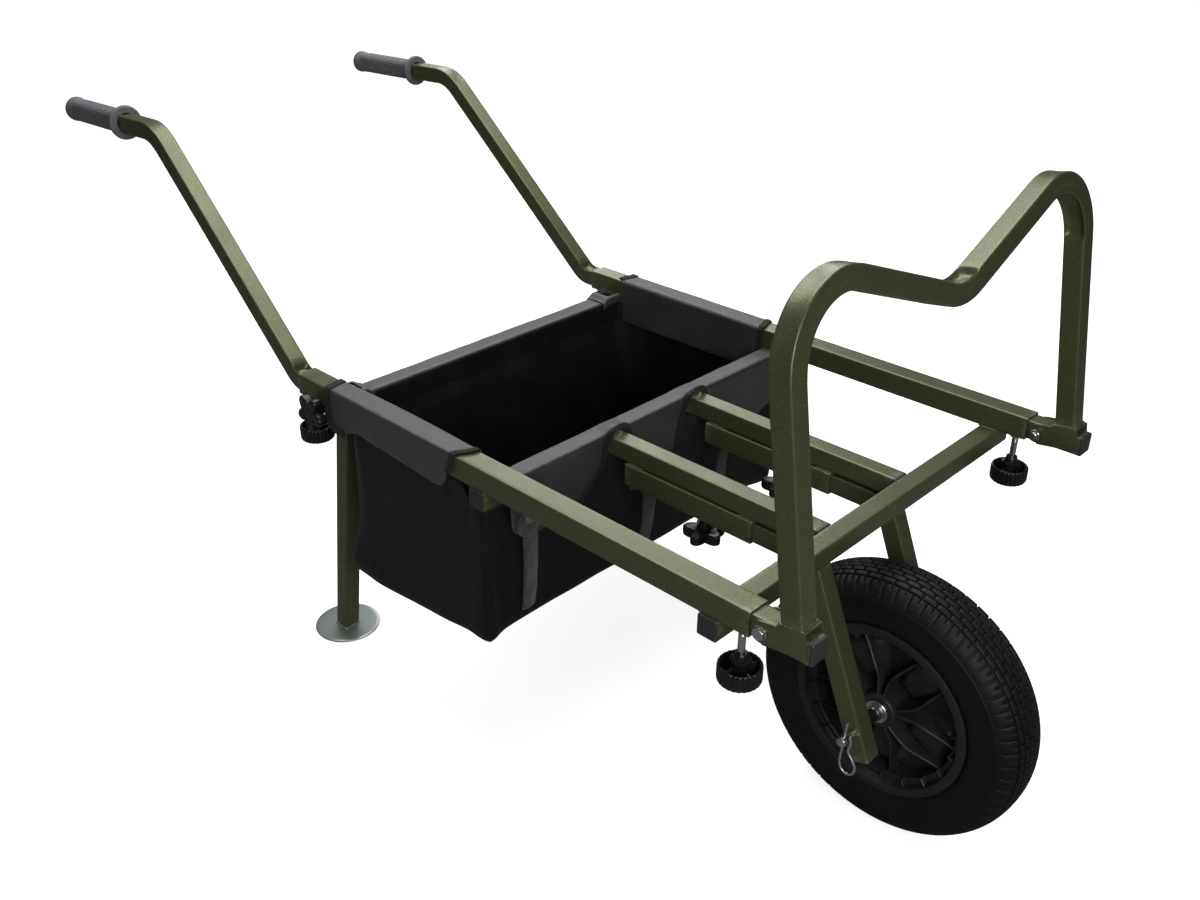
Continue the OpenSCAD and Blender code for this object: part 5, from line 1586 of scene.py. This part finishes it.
def rearHemEnd(label, sign):
    # Each end of the hem rises round the top of a leg sleeve, open in the middle where the leg slides up
    h, rows = rearHem, []
    section = [(h["x1"] + 5.6, 13), (h["x1"] + 5.6, 7), (h["x1"] + 5.2, 2.6), (h["x1"] + 3.2, 0.4)] + h["over"]
    for i in range(12):
        y = 224 + 42 * i / 11
        z = h["top"] + 1.8 + (h["overLeg"] - h["top"] - 1.8) * smoothStep((y - 226) / 10)
        z += 0.7 * wave(y / 9, sign, seed=16) * smoothStep((y - 238) / 8) ** 2 + 0.5
        rows.append([Vector((x, sign * y, z - drop)) for x, drop in section])
    beside = rows[4:]
    sheets = [rows[:5], [row[:5] for row in beside], [row[8:] for row in beside]]
    return clothGrid(label + "HemEnd", sheets, wrapClothWithPaintedLight, h["thickness"])


def makeRearHem():
    piece, area = rearHemSleeve()
    apron, apronArea = rearHemFace()
    for sign, label in ((-1, "right"), (1, "left")):
        end, endArea = rearHemEnd(label, sign)


frontHem = {
    "x0": -412.1, "x1": -383.6, "low": -57.4, "top": -28.2, "half": 262, "tubeY": 79.5, "flapTop": -31,
    "flapLow": -114, "steps": 88, "flapSteps": 16, "thickness": 1.2, "flapThickness": 1.3,
    # Right edge of the flap beside a central tube, then over the tube and down the middle flap: (y, z)
    "edgeLine": [(-152, -104), (-140, -94), (-128, -84), (-113, -69), (-105, -57), (-99, -42), (-95, -30),
                 (-89, -22.5), (-80, -20), (-70, -21), (-62, -25.5), (-57, -34), (-53, -44), (-46, -57),
                 (-38, -78), (-31, -98), (-29, -106)]}


def hemRise(y):
    # How far the hem lifts where it arches over the central tubes
    return 6.5 * math.exp(-((abs(y) - frontHem["tubeY"] + 3) / 17) ** 4)


def hemSway(z):
    # How far the front flaps lean out, by height
    return 2.6 * smoothStep((frontHem["flapTop"] - z) / 80)


def frontHemSleeve():
    h, rows = frontHem, []
    x0, x1, top = h["x0"], h["x1"], h["top"]
    for i in range(h["steps"] + 1):
        y = h["half"] * (2 * i / h["steps"] - 1)
        lift = hemRise(y)
        lip = -29 + lift if lift > 2.5 else -44
        section = [(x0, h["low"]), (x0, -50), (x0 - 0.3, -42), (x0, -33), (x0 + 0.8, -30),
                   (x0 + 3.4, top + 0.1 + lift * 0.2), (-405, top + 0.3 + lift * 0.4),
                   (-399, top + 0.2 + lift * 0.6), (-393, top + 0.1 + lift * 0.8),
                   (x1 - 3.4, top + lift * 0.95), (x1 - 0.9, top - 0.9 + lift), (x1, top - 3.2 + lift)]
        section += [(x1 + 0.3, top - 3.2 + lift + (lip - top + 3.2 - lift) * k / 3) for k in (1, 2, 3)]
        row = []
        for k, (x, z) in enumerate(section):
            a = 0.6 * wave(y / 33, k / 4, seed=21) + 0.4 * wave(y / 10, k / 3, seed=23)
            row.append(Vector((x + (a if k > 8 else 0), y, z + (0.35 + a if 4 < k <= 10 else 0))))
        rows.append(row)
    return clothGrid("frontHemSleeve", [rows], wrapClothWithPaintedLight, h["thickness"])


def frontFlap(name, left, right, seed):
    # left and right give y at a height
    h, grid = frontHem, []
    top, low = h["flapTop"], h["flapLow"]
    for i in range(h["flapSteps"] + 1):
        z = top + (low - top) * i / h["flapSteps"]
        a, b = left(z), right(z)
        row = []
        for t in (j / 24 for j in range(25)):
            y = a + (b - a) * t
            rounding = 16 * max(0.0, (z - (low + 16)) / -16) ** 2 * max(0.0, abs(2 * t - 1) - 0.5) * 2
            sway = 1.6 * wave(y / 45, z / 60, seed=seed) + hemSway(z)
            row.append(Vector((h["x1"] + 1.7 + sway, y, z + rounding)))
        grid.append(row)
    return clothGrid(name, [grid], wrapClothWithPaintedLight, h["flapThickness"])


def archBinding(label, sign):
    h, line = frontHem, []
    for y, z in h["edgeLine"]:
        over = math.exp(-((abs(y) - h["tubeY"]) / 22) ** 4)
        line.append(Vector((h["x1"] + 3.2 + 2.4 * over + hemSway(z), -sign * y, z)))
    return makeBinding(label + "ArchBinding", line, (0.3, 0.8, 0.6), (8.5, 2.6), 0.2, 5 + sign)


def makeFrontHem():
    piece, area = frontHemSleeve()
    outer = sorted((z, y) for y, z in frontHem["edgeLine"] if y < -89)
    inner = sorted((z, y) for y, z in frontHem["edgeLine"] if y > -62)
    half = frontHem["half"]

    def rightEdge(z):
        return -half + 11 * smoothStep((-90 - z) / 24)

    def leftEdge(z):
        return half - 11 * smoothStep((-60 - z) / 14) - 8 * smoothStep((-95 - z) / 18)

    flaps = [
        frontFlap("rightFrontFlap", rightEdge, lambda z: along(outer, z), 31),
        frontFlap("middleFrontFlap", lambda z: along(inner, z), lambda z: -along(inner, z), 33),
        frontFlap("leftFrontFlap", lambda z: -along(outer, z), leftEdge, 35)]
    right, left = archBinding("right", -1), archBinding("left", 1)


straps = [
    {"name": "railStrap", "y": -232, "tab": (-256, -213, -72, -110), "width": 26, "top": -104, "low": -226,
     "bow": 3},
    {"name": "middleStrap", "y": -15, "tab": (-58, -7, -90, -129), "width": 29, "top": -120, "low": -229,
     "bow": 6},
    {"name": "farStrap", "y": 152, "tab": (137, 181, -92, -131), "width": 27, "top": -120, "low": -224,
     "bow": -5},
]


strapThickness = {"tab": 2.2, "lining": 1.0, "strap": 2.0}


def ovalPatch(steps, size, bulge, point):
    # Grid of a rounded patch: its half sizes (across, up), how round its corners are, and point(across, up, u)
    halfY, halfZ = size
    grid = []
    for i in range(steps + 1):
        v = 2 * i / steps - 1
        row = []
        for u in (2 * j / steps - 1 for j in range(steps + 1)):
            across, up = halfY * u * math.sqrt(1 - bulge * v * v), halfZ * v * math.sqrt(1 - bulge * u * u)
            row.append(point(across, up, u))
        grid.append(row)
    return grid


def makeStrap(s):
    left, right, high, low = s["tab"]
    cy, cz, ry, rz = (left + right) / 2, (high + low) / 2, (right - left) / 2, (high - low) / 2

    def tabPoint(across, up, u):
        y, z = cy + across, cz - up
        return Vector((-377.5 + 1.8 * (1 - u * u) + 1.2 * wave(y / 16, z / 16, seed=s["y"] * 0.1), y, z))

    def liningPoint(across, up, u):
        y, z = cy + across, cz + 0.42 * rz - up
        return Vector((-374.0 + 1.0 * wave(y / 7, z / 7, seed=3 + s["y"] * 0.01), y, z))

    patch = ovalPatch(12, (ry, rz), 0.42, tabPoint)
    tab, tabArea = clothGrid(s["name"] + "Tab", [patch], fuzzTape, strapThickness["tab"])
    patch = ovalPatch(6, (0.45 * ry, 0.5 * rz), 0.4, liningPoint)
    lining, _ = clothGrid(s["name"] + "Lining", [patch], greyLining, strapThickness["lining"])
    grid = []
    for t in (i / 24 for i in range(25)):
        z = s["top"] + (s["low"] - s["top"]) * t
        middle, half = s["y"] + s["bow"] * math.sin(math.pi * t), s["width"] / 2 * (1 - 0.12 * t)
        row = []
        for u in (2 * j / 6 - 1 for j in range(7)):
            x = -380.5 - 7.0 * t + 1.5 * (1 - u * u) + 1.0 * wave(middle / 9 + u, z / 26, seed=6)
            row.append(Vector((x, middle + half * u, z)))
        grid.append(row)
    strap, strapArea = clothGrid(s["name"], [grid], fuzzTape, strapThickness["strap"])


bagBody, bagArea = makeBagBody()
makeWraps()
makeRearHem()
makeFrontHem()
for strapSizes in straps:
    makeStrap(strapSizes)
